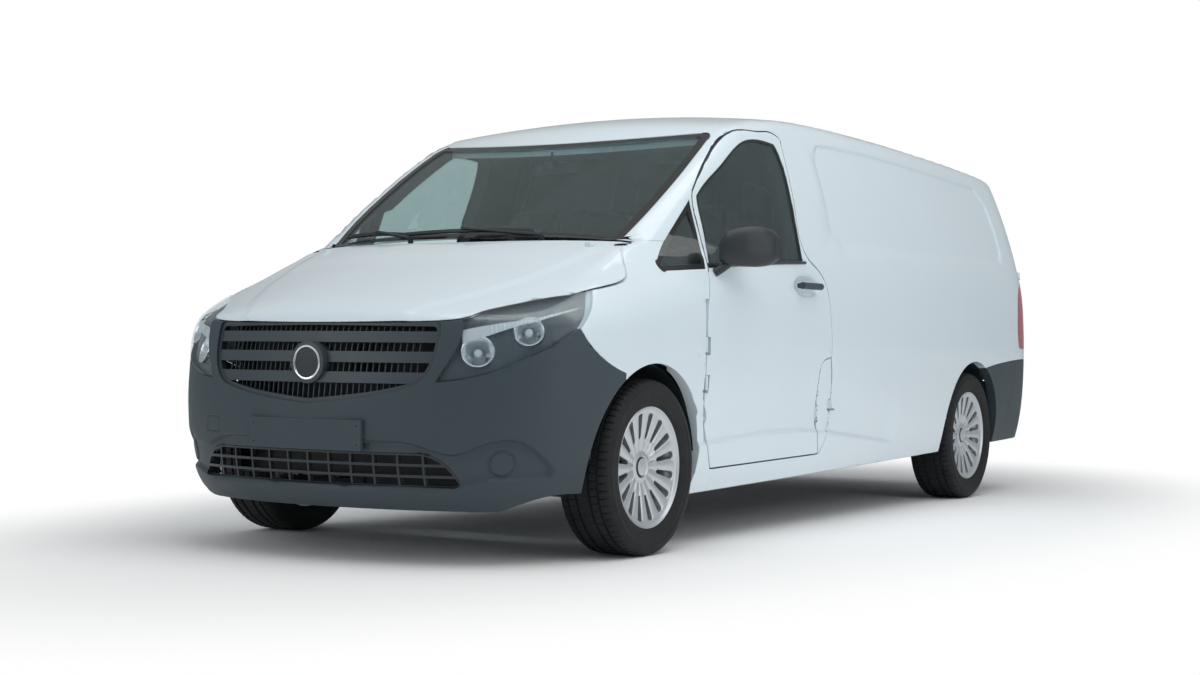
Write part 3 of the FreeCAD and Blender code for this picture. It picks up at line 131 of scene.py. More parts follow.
flank = curve(FLANK, 30)
nose = curve([(z, LENGTH / 2 - d) for z, d in NOSE], 15)
nose_power = curve(NOSE_POWER, 15)
tail = curve([(z, d - LENGTH / 2) for z, d in TAIL], 20)
crown = curve(CROWN, 40)
screen_bow = curve(SCREEN_BOW, 60)
roof_drop = curve(ROOF_DROP, 60)
bonnet_line = curve(BONNET, 20)
bonnet_fall = curve(BONNET_FALL, 60)
rail_round = curve([(-2500, 34), (-800, 42), (300, 46), (1000, 36), (1700, 24)], 60)
SHOULDER_ROUND = 16.0


def side_level(x, y, z):
    w = np.abs(y) / flank(z)
    front = np.clip((x - SIDE_START_X) / (nose(z) - SIDE_START_X), 0, None)
    back = np.clip((x - TAIL_START_X) / (tail(z) - TAIL_START_X), 0, None)
    level = w ** 2 + front ** nose_power(z)
    return np.where(back > 0, w ** TAIL_ROUND + back ** TAIL_POWER, level)


def roof_level(x, y, z):
    k = (y / 700.0) ** 2
    base = x + screen_bow(x) * k
    for _ in range(3):
        base = x + screen_bow(base) * k
    return z - crown(base) + roof_drop(base) * k


def bonnet_level(x, y, z):
    return z - bonnet_line(x) + bonnet_fall(x) * (np.abs(y) / 830.0) ** 2.5


def true_gap(level, at, p, h=1.5):
    """Signed distance from a surface, from its level function and slope."""
    x, y, z = p
    gx = level(x + h, y, z) - level(x - h, y, z)
    gy = level(x, y + h, z) - level(x, y - h, z)
    gz = level(x, y, z + h) - level(x, y, z - h)
    return (level(x, y, z) - at) * 2 * h / np.maximum(np.sqrt(gx ** 2 + gy ** 2 + gz ** 2), 1e-9)


def rounded(a, b, r):
    """Two half spaces met with a round of radius r."""
    both = np.sqrt(np.maximum(a + r, 0) ** 2 + np.maximum(b + r, 0) ** 2)
    return np.minimum(-r, np.maximum(a, b)) + both


def skin_gap(p):
    """Distance outside the body's skin, negative inside, for points as three arrays."""
    x, y, z = p
    side = true_gap(side_level, 1.0, p)
    cab = rounded(side, true_gap(roof_level, 0.0, p), rail_round(x))
    cab = np.where(x > CAB_END_X, 1e3, cab)
    front = rounded(side, true_gap(bonnet_level, 0.0, p), SHOULDER_ROUND)
    front = np.where(x < 1100, 1e3, front)
    return np.minimum(cab, front)


def skin_normal(p, h=2.0):
    x, y, z = p
    g = np.stack([skin_gap((x + h, y, z)) - skin_gap((x - h, y, z)),
                  skin_gap((x, y + h, z)) - skin_gap((x, y - h, z)),
                  skin_gap((x, y, z + h)) - skin_gap((x, y, z - h))], 1)
    return g / np.maximum(np.linalg.norm(g, axis=1), 1e-9)[:, None]


def unit(v):
    v = np.asarray(v, float)
    return v / max(np.linalg.norm(v), 1e-12)


class FlatChart:
    """Lays a panel out flat, seen along one direction."""

    def __init__(self, toward):
        self.d = unit(toward)
        side = np.array([0.0, 0.0, 1.0]) if abs(self.d[2]) < 0.9 else np.array([1.0, 0.0, 0.0])
        self.a = unit(np.cross(side, self.d))
        self.b = np.cross(self.d, self.a)

    def flat(self, p):
        return np.stack([p @ self.a, p @ self.b], 1)

    def rays(self, uv, reach):
        start = uv[:, :1] * self.a + uv[:, 1:] * self.b
        return start, np.broadcast_to(self.d, start.shape), -reach, reach


class RoundChart:
    """Unrolls a panel from a standing axis at one x on the centre plane."""

    def __init__(self, x, sign, radius=950.0):
        self.x = x
        self.sign = sign
        self.radius = radius

    def flat(self, p):
        angle = np.arctan2(p[:, 1], (p[:, 0] - self.x) * self.sign)
        return np.stack([angle * self.radius, p[:, 2]], 1)

    def rays(self, uv, reach):
        angle = uv[:, 0] / self.radius
        zero = np.zeros(len(uv))
        start = np.stack([zero + self.x, zero, uv[:, 1]], 1)
        way = np.stack([np.cos(angle) * self.sign, np.sin(angle), zero], 1)
        return start, way, 200.0, 1400.0


def cast(chart, uv, inset=0.0, reach=3200.0):
    """Points of the skin, or of one set in from it, where a chart's rays leave it."""
    start, way, lo, hi = chart.rays(uv, reach)
    # The last way out is the skin, so the search walks in from outside
    t = np.full(len(uv), float(hi))
    live = np.ones(len(uv), bool)
    for _ in range(60):
        if not live.any():
            break
        p = start[live] + way[live] * t[live, None]
        gap = skin_gap(p.T) + inset
        t[live] -= np.clip(gap * 0.9, -60, 400)
        near = np.abs(gap) < 0.02
        idx = np.where(live)[0]
        live[idx[near]] = False
        live &= t > lo
    return start + way * t[:, None]


def parts_of(count, tris):
    """Number of the CAD face that each vertex belongs to."""
    label = np.arange(count)
    while True:
        low = label[tris].min(1)
        before = label.copy()
        np.minimum.at(label, tris.ravel(), np.repeat(low, 3))
        label = label[label]
        if (label == before).all():
            return label


def node_mesh(name):
    mesh = frame["nodes"][name].data
    points = np.zeros(len(mesh.vertices) * 3)
    mesh.vertices.foreach_get("co", points)
    mesh.calc_loop_triangles()
    tris = np.zeros(len(mesh.loop_triangles) * 3, np.int64)
    mesh.loop_triangles.foreach_get("vertices", tris)
    return points.reshape(-1, 3) / MM, tris.reshape(-1, 3)


def loops_of(points, tris):
    """Closed outlines round a set of triangles, as lists of points."""
    keys, back = np.unique(np.round(points, 2), axis=0, return_inverse=True)
    t = back.ravel()[tris]
    t = t[(t[:, 0] != t[:, 1]) & (t[:, 1] != t[:, 2]) & (t[:, 0] != t[:, 2])]
    edges = np.concatenate([t[:, [0, 1]], t[:, [1, 2]], t[:, [2, 0]]])
    have = {tuple(e) for e in edges.tolist()}
    after = {}
    for a, b in have:
        if (b, a) not in have:
            after.setdefault(a, []).append(b)
    out = []
    while after:
        first = next(iter(after))
        run = [first]
        while True:
            nexts = after.get(run[-1])
            if not nexts:
                break
            step = nexts.pop()
            if not nexts:
                del after[run[-1]]
            if step == first:
                break
            run.append(step)
        if len(run) > 2:
            out.append(keys[run])
    return out


def loop_length(loop):
    return np.linalg.norm(np.roll(loop, -1, 0) - loop, axis=1).sum()


def finer(loop, step):
    """The same outline with no edge longer than a step."""
    out = []
    for a, b in zip(loop, np.roll(loop, -1, 0)):
        n = max(1, int(math.ceil(np.linalg.norm(b - a) / step)))
        out.extend(a + (b - a) * k / n for k in range(n))
    return np.array(out)


def within(points, loops):
    """True for each 2-D point inside the outlines, holes left out."""
    a = np.concatenate(loops)
    b = np.concatenate([np.roll(loop, -1, 0) for loop in loops])
    inside = np.zeros(len(points), bool)
    for k in range(0, len(points), 4000):
        p = points[k:k + 4000]
        px, py = p[:, :1], p[:, 1:]
        cross = (a[:, 1] > py) != (b[:, 1] > py)
        with np.errstate(divide="ignore", invalid="ignore"):
            at = a[:, 0] + (py - a[:, 1]) / (b[:, 1] - a[:, 1]) * (b[:, 0] - a[:, 0])
        inside[k:k + 4000] = (cross & (px < at)).sum(1) % 2 == 1
    return inside


def clearance(points, loops):
    """Distance from each 2-D point to the outlines."""
    a = np.concatenate(loops)
    b = np.concatenate([np.roll(loop, -1, 0) for loop in loops])
    ab = b - a
    long2 = np.maximum((ab ** 2).sum(1), 1e-9)
    out = np.zeros(len(points))
    for k in range(0, len(points), 2000):
        p = points[k:k + 2000, None, :]
        t = np.clip(((p - a) * ab).sum(2) / long2, 0, 1)
        out[k:k + 2000] = np.sqrt((((p - a) - t[..., None] * ab) ** 2).sum(2).min(1))
    return out


def shifted_loop(loop, by):
    """2-D outline moved toward its left by a distance."""
    ahead = np.roll(loop, -1, 0) - loop
    behind = loop - np.roll(loop, 1, 0)
    ahead = ahead / np.maximum(np.linalg.norm(ahead, axis=1), 1e-9)[:, None]
    behind = behind / np.maximum(np.linalg.norm(behind, axis=1), 1e-9)[:, None]
    n1 = np.stack([-ahead[:, 1], ahead[:, 0]], 1)
    n2 = np.stack([-behind[:, 1], behind[:, 0]], 1)
    mid = n1 + n2
    mid = mid / np.maximum((mid ** 2).sum(1), 0.6)[:, None] * 2
    return loop + mid * by


def skin_faces(points, tris, inset, slack):
    """Triangles of those CAD faces that lie on the skin."""
    label = parts_of(len(points), tris)
    gap = np.abs(skin_gap(points.T) + inset)
    worst = np.zeros(len(points))
    np.maximum.at(worst, label, gap)
    return worst[label[tris[:, 0]]] < slack


def outward_faces(points, tris):
    """Triangles of those CAD faces that look the way that the skin does."""
    label = parts_of(len(points), tris)[tris[:, 0]]
    a, b, c = points[tris].transpose(1, 0, 2)
    area = np.cross(b - a, c - a)
    size = np.linalg.norm(area, axis=1)
    facing = (area * skin_normal(((a + b + c) / 3).T)).sum(1)
    total = np.bincount(label, size, len(points))
    share = np.bincount(label, facing, len(points)) / np.maximum(total, 1e-9)
    return share[label] > 0.6


def outline_loops(points, tris, step, least=60.0):
    loops = [loop for loop in loops_of(points, tris) if loop_length(loop) > least]
    return [finer(loop, step) for loop in loops]


def grid_points(loops, step):
    """Evenly staggered points over the outlines' area."""
    flat = np.concatenate(loops)
    lo, hi = flat.min(0), flat.max(0)
    rows = np.arange(lo[1], hi[1], step * 0.866)
    cols = np.arange(lo[0], hi[0], step)
    u, v = np.meshgrid(cols, rows)
    u = u + (np.arange(len(rows)) % 2)[:, None] * step / 2
    return np.stack([u.ravel(), v.ravel()], 1)


class Panel:
    """A sheet of the skin inside outlines, with rounded edges and pressed-in forms."""

    def __init__(self, chart, loops, step, inset=0.0, dent=None, edge=2.0, fine=None, band=0.0):
        self.chart = chart
        self.inset = inset
        self.dent = dent
        flat = [chart.flat(loop) for loop in loops]
        area = sum(0.5 * (f[:, 0] * np.roll(f[:, 1], -1) - np.roll(f[:, 0], -1) * f[:, 1]).sum()
                   for f in flat)
        hand = 1.0 if area > 0 else -1.0
        inner = [shifted_loop(f, hand * edge * 1.3) for f in flat]
        inner = np.concatenate(inner)
        inner = inner[within(inner, flat) & (clearance(inner, flat) > edge)]
        grid = grid_points(flat, step)
        grid = grid[within(grid, flat) & (clearance(grid, flat) > step * 0.55)]
        extra = [grid, inner]
        if fine and dent is not None and len(grid):
            changing = self.relief_near(grid, step)
            cells = np.floor(grid / step).astype(np.int64)
            near = cells[changing]
            near = np.concatenate([near + (i, j) for i in (-1, 0, 1) for j in (-1, 0, 1)])
            key = np.unique(near[:, 0] * 100000 + near[:, 1])
            small = grid_points(flat, fine)
            spots = np.floor(small / step).astype(np.int64)
            small = small[np.isin(spots[:, 0] * 100000 + spots[:, 1], key)]
            small = small[within(small, flat) & (clearance(small, flat) > fine * 0.6)]
            grid = grid[~np.isin(cells[:, 0] * 100000 + cells[:, 1], key)]
            extra = [grid, inner, small]
        borders = [shifted_loop(f, hand * band) for f in flat] if band else []
        all_points = np.concatenate(flat + borders + extra)
        edges = []
        start = 0
        for f in flat + borders:
            n = len(f)
            edges += [(start + i, start + (i + 1) % n) for i in range(n)]
            start += n
        made = delaunay_2d_cdt([Vector(p) for p in all_points], edges, [], 0, 0.01)
        uv = np.array([tuple(v) for v in made[0]])
        tris = np.array([f for f in made[2] if len(f) == 3], np.int64)
        centre = uv[tris].mean(1)
        tris = tris[within(centre, flat)]
        self.printed = np.zeros(len(tris), bool)
        if band:
            self.printed = clearance(uv[tris].mean(1), flat) < band
        place = {}
        for out, ins in enumerate(made[3]):
            for i in ins:
                place.setdefault(i, out)
        self.rings = []
        start = 0
        for f in flat:
            self.rings.append(np.array([place[start + i] for i in range(len(f))]))
            start += len(f)
        self.tris = tris[:, ::-1] if self.flipped(uv, tris) else tris
        points, normals = self.lift(uv)
        self.edge = edge
        self.bare = points.copy()
        self.bare_normals = normals.copy()
        self.points = [points]
        self.normals = [normals]
        self.faces = [tuple(t) for t in self.tris.tolist()]
        self.ids = self.printed.astype(int).tolist()
        self.rim = []
        base = len(points)
        for ring in self.rings:
            p = self.bare[ring]
            n = self.bare_normals[ring]
            along = np.roll(p, -1, 0) - np.roll(p, 1, 0)
            out = np.cross(along, n)
            out = out / np.maximum(np.linalg.norm(out, axis=1), 1e-9)[:, None]
            points[ring] = p - n * edge * 0.3
            tilt = n + 0.75 * out
            normals[ring] = tilt / np.linalg.norm(tilt, axis=1)[:, None]
            low = p - n * edge
            self.points.append(low)
            self.normals.append(out)
            count = len(ring)
            for i in range(count):
                j = (i + 1) % count
                self.faces.append((int(ring[i]), base + i, base + j, int(ring[j])))
                self.ids.append(1 if band else 0)
            self.rim.append((p, low))
            base += count

    def relief_near(self, uv, step):
        """True for each point with pressed relief starting or ending close to it."""
        p = cast(self.chart, uv, self.inset)
        depths = [self.dent(p)]
        for k in range(3):
            for way in (-0.6 * step, 0.6 * step):
                q = p.copy()
                q[:, k] += way
                depths.append(self.dent(q))
        depths = np.array(depths)
        return depths.max(0) - depths.min(0) > 0.25

    def flipped(self, uv, tris):
        """True where the chart's turning sense runs against the outward one."""
        p = self.lift(uv[tris[:40].ravel()])
        a, b, c = p[0].reshape(-1, 3, 3).transpose(1, 0, 2)
        n = p[1].reshape(-1, 3, 3)[:, 0]
        return (np.cross(b - a, c - a) * n).sum() < 0

    def lift(self, uv):
        p = cast(self.chart, uv, self.inset)
        n = skin_normal(p.T)
        if self.dent is None:
            return p, n
        h = 1.0
        deep = self.dent(p)
        slope = np.zeros_like(p)
        for k in range(3):
            q = p.copy()
            q[:, k] += h
            r = p.copy()
            r[:, k] -= h
            slope[:, k] = (self.dent(q) - self.dent(r)) / (2 * h)
        slope -= (slope * n).sum(1)[:, None] * n
        tilted = n + slope
        tilted /= np.linalg.norm(tilted, axis=1)[:, None]
        return p - n * deep[:, None], tilted


def add_mesh(name, points, normals, faces, slots, body, ids=None):
    """One object from points in millimetres, with its own shading normals."""
    mesh = bpy.data.meshes.new(name)
    mesh.from_pydata((np.asarray(points) * MM).tolist(), [], faces)
    for slot in slots:
        mesh.materials.append(slot)
    if ids is not None:
        mesh.polygons.foreach_set("material_index", np.asarray(ids, np.int32))
    mesh.polygons.foreach_set("use_smooth", np.ones(len(mesh.polygons), bool))
    mesh.update()
    if normals is not None:
        mesh.normals_split_custom_set_from_vertices(np.asarray(normals).tolist())
    piece = bpy.data.objects.new(name, mesh)
    bpy.context.scene.collection.objects.link(piece)
    if body:
        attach(piece, body)
    return piece


def vertex_normals(points, tris):
    n = np.zeros_like(points)
    f = np.cross(points[tris[:, 1]] - points[tris[:, 0]], points[tris[:, 2]] - points[tris[:, 0]])
    for k in range(3):
        np.add.at(n, tris[:, k], f)
    return n / np.maximum(np.linalg.norm(n, axis=1), 1e-9)[:, None]


def body_of(node):
    return next(b for b, nodes in frame["record"]["behaviour"]["bodies"].items() if node in nodes)


# The dark lining covers the inner faces of the walls, and all of the window frames beside
# the cabin: from x to x, and above z
CABIN = (180.0, 1700.0, 380.0)
WINDOW_FOOT = 1092.0
LINING_DEPTH = 40.0


def dress(node, chart, slots, step=24.0, inset=0.0, slack=6.0, dent=None, fine=None, edge=2.0,
          side=0, band=0.0):
    """Panel that takes a node's place: its skin drawn anew, its walls and lining kept."""
    points, tris = node_mesh(node)
    if side:
        tris = tris[points[tris].mean(1)[:, 1] * side > 0]
    on = outward_faces(points, tris) if band else skin_faces(points, tris, inset, slack)
    loops = outline_loops(points, tris[on], step)
    panel = Panel(chart, loops, step, inset, dent, edge, fine, band)
    all_points = list(panel.points)
    all_normals = list(panel.normals)
    faces = list(panel.faces)
    ids = list(panel.ids)
    rest = tris[~on]
    if len(rest):
        moved = {}
        for loop, (_, low) in zip(loops, panel.rim):
            for key, p in zip(np.round(loop, 1).tolist(), low):
                moved[tuple(key)] = p
        used, back = np.unique(rest, return_inverse=True)
        rest_points = points[used].copy()
        for i, key in enumerate(np.round(rest_points, 1).tolist()):
            hit = moved.get(tuple(key))
            if hit is not None:
                rest_points[i] = hit
        rest = back.reshape(rest.shape)
        base = sum(len(p) for p in all_points)
        all_points.append(rest_points)
        all_normals.append(vertex_normals(rest_points, rest))
        faces += [tuple(t) for t in (rest + base).tolist()]
        x, _, z = rest_points[rest].mean(1).T
        deep = skin_gap(rest_points.T)[rest].max(1) < -LINING_DEPTH
        lined = (deep | (z > WINDOW_FOOT) & (x > CABIN[0])) & (x < CABIN[1]) & (z > CABIN[2])
        ids += np.where(lined, len(slots) - 1, 0 if band == 0 else 2).tolist()
    name = node + "_dressed" + ("" if not side else ("_left" if side > 0 else "_right"))
    piece = add_mesh(name, np.concatenate(all_points), np.concatenate(all_normals), faces, slots,
                     body_of(node), ids)
    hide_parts(node)
    return piece


def linear(hex_colour):
    """Linear colour from an sRGB hex value."""
    out = []
    for k in (0, 2, 4):
        c = int(hex_colour[k:k + 2], 16) / 255
        out.append(c / 12.92 if c <= 0.04045 else ((c + 0.055) / 1.055) ** 2.4)
    return (*out, 1.0)


def add(tree, kind, settings=None, inputs=None):
    """Adds a node with its settings, and its sockets set to values or linked."""
    made = tree.nodes.new(kind)
    for key, value in (settings or {}).items():
        setattr(made, key, value)
    for key, value in (inputs or {}).items():
        if isinstance(value, bpy.types.NodeSocket):
            tree.links.new(value, made.inputs[key])
        else:
            made.inputs[key].default_value = value
    return made


def finish(name, colour, roughness, **shader):
    """A material with its own shader, ready for patterns: material, tree, shader."""
    mat = bpy.data.materials.new(name)
    mat.use_nodes = True
    tree = mat.node_tree
    tree.nodes.clear()
    values = {"Base Color": colour, "Roughness": roughness}
    values.update({key.replace("_", " ").title().replace("Ior", "IOR"): v for key, v in shader.items()})
    bsdf = add(tree, "ShaderNodeBsdfPrincipled", None, values)
    out = add(tree, "ShaderNodeOutputMaterial", None, {"Surface": bsdf.outputs[0]})
    mat.diffuse_color = colour
    return mat, tree, bsdf, out


def per_metre(size_mm):
    """Noise scale for features of a real size in millimetres."""
    return 1000.0 / size_mm


def grained(tree, bsdf, size_mm, depth_mm, detail=3.0, target="Normal"):
    """Fine relief of a real grain size and depth, pressed or sprayed into the surface."""
    where = add(tree, "ShaderNodeTexCoord")
    noise = add(tree, "ShaderNodeTexNoise", None, {
        "Vector": where.outputs["Object"], "Scale": per_metre(size_mm), "Detail": detail})
    bump = add(tree, "ShaderNodeBump", None, {
        "Height": noise.outputs[0], "Distance": depth_mm * MM, "Strength": 1.0})
    tree.links.new(bump.outputs[0], bsdf.inputs[target])
    return noise


def mottled(tree, bsdf, socket, low, high, size_mm):
    """Slow drift of a value between two levels, over patches of a real size."""
    where = add(tree, "ShaderNodeTexCoord")
    noise = add(tree, "ShaderNodeTexNoise", None, {
        "Vector": where.outputs["Object"], "Scale": per_metre(size_mm), "Detail": 4.0})
    level = add(tree, "ShaderNodeMapRange", None, {
        "Value": noise.outputs[0], "From Min": 0.3, "From Max": 0.7, "To Min": low, "To Max": high})
    tree.links.new(level.outputs[0], bsdf.inputs[socket])


def shifted_colour(tree, bsdf, dark, light, size_mm):
    """Faint change between two shades of one colour, over patches of a real size."""
    where = add(tree, "ShaderNodeTexCoord")
    noise = add(tree, "ShaderNodeTexNoise", None, {
        "Vector": where.outputs["Object"], "Scale": per_metre(size_mm), "Detail": 5.0})
    ramp = add(tree, "ShaderNodeValToRGB", None, {"Fac": noise.outputs[0]})
    ramp.color_ramp.elements[0].position = 0.35
    ramp.color_ramp.elements[0].color = dark
    ramp.color_ramp.elements[1].position = 0.65
    ramp.color_ramp.elements[1].color = light
    tree.links.new(ramp.outputs[0], bsdf.inputs["Base Color"])


def shade(colour, factor):
    return tuple(min(1.0, c * factor) for c in colour[:3]) + (1.0,)


# Solid white enamel under clear lacquer: even colour, a sharp soft-edged reflection, and the
# faint ripple of sprayed lacquer, drawn at 9 mm so that it shows
def white_enamel(colour):
    mat, tree, bsdf, _ = finish("white_enamel_lacquered", colour, 0.42,
                                coat_weight=1.0, coat_roughness=0.05, specular_ior_level=0.4)
    grained(tree, bsdf, 9.0, 0.012, 1.0, "Coat Normal")
    shifted_colour(tree, bsdf, shade(colour, 0.985), shade(colour, 1.0), 420.0)
    return mat


# Moulded polypropylene with a leathery grain: dark, matt, with a broad dull sheen
def bumper_polypropylene(name, colour):
    mat, tree, bsdf, _ = finish(name, colour, 0.5, specular_ior_level=0.42)
    grained(tree, bsdf, 3.2, 0.10, 4.0)
    mottled(tree, bsdf, "Roughness", 0.46, 0.56, 160.0)
    return mat


# Smooth moulded ABS, a little darker and glossier than the bumper
def moulded_abs(name, colour, rough=0.38):
    mat, tree, bsdf, _ = finish(name, colour, rough, specular_ior_level=0.5)
    grained(tree, bsdf, 2.2, 0.03, 2.0)
    mottled(tree, bsdf, "Roughness", rough - 0.04, rough + 0.06, 120.0)
    return mat


# Thin clear sheet with a glossy skin, which lets most light straight through: it bends no
# light, as a sheet this thin doesn't, and keeps its reflections
def clear_sheet(name, tint, straight):
    mat, tree, bsdf, out = finish(name, tint, 0.02, ior=1.5, transmission_weight=1.0)
    through = add(tree, "ShaderNodeBsdfTransparent", None, {"Color": tint})
    mixed = add(tree, "ShaderNodeMixShader", None, {
        "Fac": straight, 1: bsdf.outputs[0], 2: through.outputs[0]})
    tree.links.new(mixed.outputs[0], out.inputs["Surface"])
    return mat


# Tempered or laminated glass: clear, faintly green, mirror-smooth
def float_glass(name, tint):
    return clear_sheet(name, tint, 0.72)


# Clear polycarbonate lamp cover with a hard coat: thin enough to let most light straight
# through, with a glossy skin
def clear_polycarbonate(tint):
    return clear_sheet("clear_polycarbonate", tint, 0.86)


# Red acrylic over the rear lamps: saturated, glossy, lets some light through
def red_acrylic(colour):
    mat, tree, bsdf, _ = finish("red_acrylic", colour, 0.08, coat_weight=0.6, coat_roughness=0.04,
                                transmission_weight=0.25)
    mottled(tree, bsdf, "Roughness", 0.06, 0.12, 60.0)
    return mat


# Vacuum-metallised reflector: near-mirror aluminium film
def metallised_film():
    mat, tree, bsdf, _ = finish("metallised_reflector", linear("E6E9EC"), 0.09, metallic=1.0)
    mottled(tree, bsdf, "Roughness", 0.07, 0.13, 12.0)
    return mat


# Silver-lacquered cast aluminium: soft sparkle, fine ripple, clear coat
def silver_cast_alloy(colour):
    mat, tree, bsdf, _ = finish("silver_cast_alloy", colour, 0.34, metallic=0.75, coat_weight=0.6,
                                coat_roughness=0.12)
    grained(tree, bsdf, 1.6, 0.012, 2.0)
    mottled(tree, bsdf, "Roughness", 0.30, 0.40, 40.0)
    return mat


# Turned cast iron of the brake discs and plain machined steel
def turned_steel(colour):
    mat, tree, bsdf, _ = finish("turned_steel", colour, 0.36, metallic=1.0)
    mottled(tree, bsdf, "Roughness", 0.28, 0.5, 18.0)
    grained(tree, bsdf, 1.5, 0.02, 2.0)
    return mat


# Carbon-black rubber, moulded: matt with a faint grey bloom
def tyre_rubber(colour):
    mat, tree, bsdf, _ = finish("moulded_rubber", colour, 0.72, specular_ior_level=0.35)
    grained(tree, bsdf, 1.8, 0.06, 3.0)
    shifted_colour(tree, bsdf, shade(colour, 0.8), shade(colour, 1.25), 70.0)
    return mat


# Electro-coated steel under the floor: satin black, dulled by dust
def coated_steel(name, colour):
    mat, tree, bsdf, _ = finish(name, colour, 0.58, specular_ior_level=0.4)
    grained(tree, bsdf, 2.5, 0.08, 4.0)
    shifted_colour(tree, bsdf, shade(colour, 0.8), shade(colour, 1.3), 140.0)
    return mat


# Sand-cast engine metal: dull grey with a gritty skin
def sand_cast_metal(colour):
    mat, tree, bsdf, _ = finish("sand_cast_aluminium", colour, 0.6, metallic=0.8)
    grained(tree, bsdf, 1.4, 0.15, 5.0)
    return mat


# Flat-woven polyester seat cloth: two crossed sets of threads, no shine
def woven_cloth(colour):
    mat, tree, bsdf, _ = finish("woven_polyester", colour, 0.9, sheen_weight=0.35, sheen_roughness=0.5)
    where = add(tree, "ShaderNodeTexCoord")
    # Threads of 0.8 mm are drawn at 3 mm so that the weave shows
    across = add(tree, "ShaderNodeTexWave", {"bands_direction": "X"}, {
        "Vector": where.outputs["Object"], "Scale": per_metre(3.0) / 20})
    along = add(tree, "ShaderNodeTexWave", {"bands_direction": "Z"}, {
        "Vector": where.outputs["Object"], "Scale": per_metre(3.0) / 20})
    both = add(tree, "ShaderNodeMath", {"operation": "MULTIPLY"}, {
        0: across.outputs["Fac"], 1: along.outputs["Fac"]})
    bump = add(tree, "ShaderNodeBump", None, {
        "Height": both.outputs[0], "Distance": 0.4 * MM, "Strength": 0.8})
    tree.links.new(bump.outputs[0], bsdf.inputs["Normal"])
    shifted_colour(tree, bsdf, shade(colour, 0.8), shade(colour, 1.15), 8.0)
    return mat


# Ribbed grey floor mat over the load deck: dull and scuffed
def deck_mat(colour):
    mat, tree, bsdf, _ = finish("ribbed_floor_mat", colour, 0.75)
    where = add(tree, "ShaderNodeTexCoord")
    ribs = add(tree, "ShaderNodeTexWave", {"bands_direction": "Y"}, {
        "Vector": where.outputs["Object"], "Scale": per_metre(8.0) / 20})
    bump = add(tree, "ShaderNodeBump", None, {
        "Height": ribs.outputs["Fac"], "Distance": 1.0 * MM, "Strength": 1.0})
    tree.links.new(bump.outputs[0], bsdf.inputs["Normal"])
    shifted_colour(tree, bsdf, shade(colour, 0.75), shade(colour, 1.2), 260.0)
    return mat


FINISH = {}


def make_finishes(look):
    paint = white_enamel(look.paint)
    bumper = bumper_polypropylene("bumper_polypropylene", look.bumper)
    black = moulded_abs("moulded_black_abs", look.trim)
    FINISH.update({
        "body_paint": paint,
        "bumper_plastic": bumper,
        "rear_bumper_plastic": bumper_polypropylene("rear_bumper_polypropylene", look.bumper),
        "grille_plastic": moulded_abs("moulded_grille_abs", look.grille, 0.42),
        "black_plastic": black,
        "glazing": float_glass("tempered_glass", look.glass),
        "lamp_lens": clear_polycarbonate(linear("F4F7F8")),
        "lamp_body": moulded_abs("lamp_bezel_abs", linear("4E585F"), 0.3),
        "tail_lens": red_acrylic(linear("C23A44")),
        "trim": moulded_abs("cabin_trim_plastic", linear("2F363B"), 0.6),
        "seat_cloth": woven_cloth(linear("2A2F33")),
        "deck": deck_mat(linear("6A6E70")),
        "chassis_black": coated_steel("coated_chassis_steel", linear("1F2326")),
        "engine_metal": sand_cast_metal(linear("8B8F91")),
        "steel": turned_steel(linear("A9ADB0")),
        "alloy": silver_cast_alloy(look.wheel),
        "tyre": tyre_rubber(linear("1B1E20")),
        "reflector": metallised_film(),
        "bright_reflector": moulded_abs("bright_lamp_strip", linear("D5DDE1"), 0.22),
        "headliner": woven_cloth(linear("8B9499")),
        "black_print": moulded_abs("fired_black_print", linear("0E1113"), 0.35),
        "grey_paint": white_enamel(look.paint),
    })
    slots = {row["node"]: row["material_slot"] for row in frame["record"]["subparts"]}
    for name, piece in frame["nodes"].items():
        for place in piece.material_slots:
            place.link = "DATA"
            place.material = FINISH[slots[name]]


class VanLook(bpy.types.PropertyGroup):
    """Colours of the van's finishes"""

    paint: bpy.props.FloatVectorProperty(
        name="Body paint", description="Enamel on every body panel", size=4, subtype="COLOR",
        min=0, max=1, default=linear("DCE9F0"))
    bumper: bpy.props.FloatVectorProperty(
        name="Bumper plastic", description="Grained plastic of both bumpers", size=4,
        subtype="COLOR", min=0, max=1, default=linear("36434A"))
    grille: bpy.props.FloatVectorProperty(
        name="Grille plastic", description="Smooth plastic of the grille's slats", size=4,
        subtype="COLOR", min=0, max=1, default=linear("333F46"))
    trim: bpy.props.FloatVectorProperty(
        name="Outer trim", description="Mirrors, handles, wipers and seals", size=4,
        subtype="COLOR", min=0, max=1, default=linear("232B30"))
    glass: bpy.props.FloatVectorProperty(
        name="Glass tint", description="Colour that the glazing gives to light", size=4,
        subtype="COLOR", min=0, max=1, default=linear("E4EFEF"))
    wheel: bpy.props.FloatVectorProperty(
        name="Wheel silver", description="Lacquer of the cast wheels", size=4, subtype="COLOR",
        min=0, max=1, default=linear("C3C8CC"))


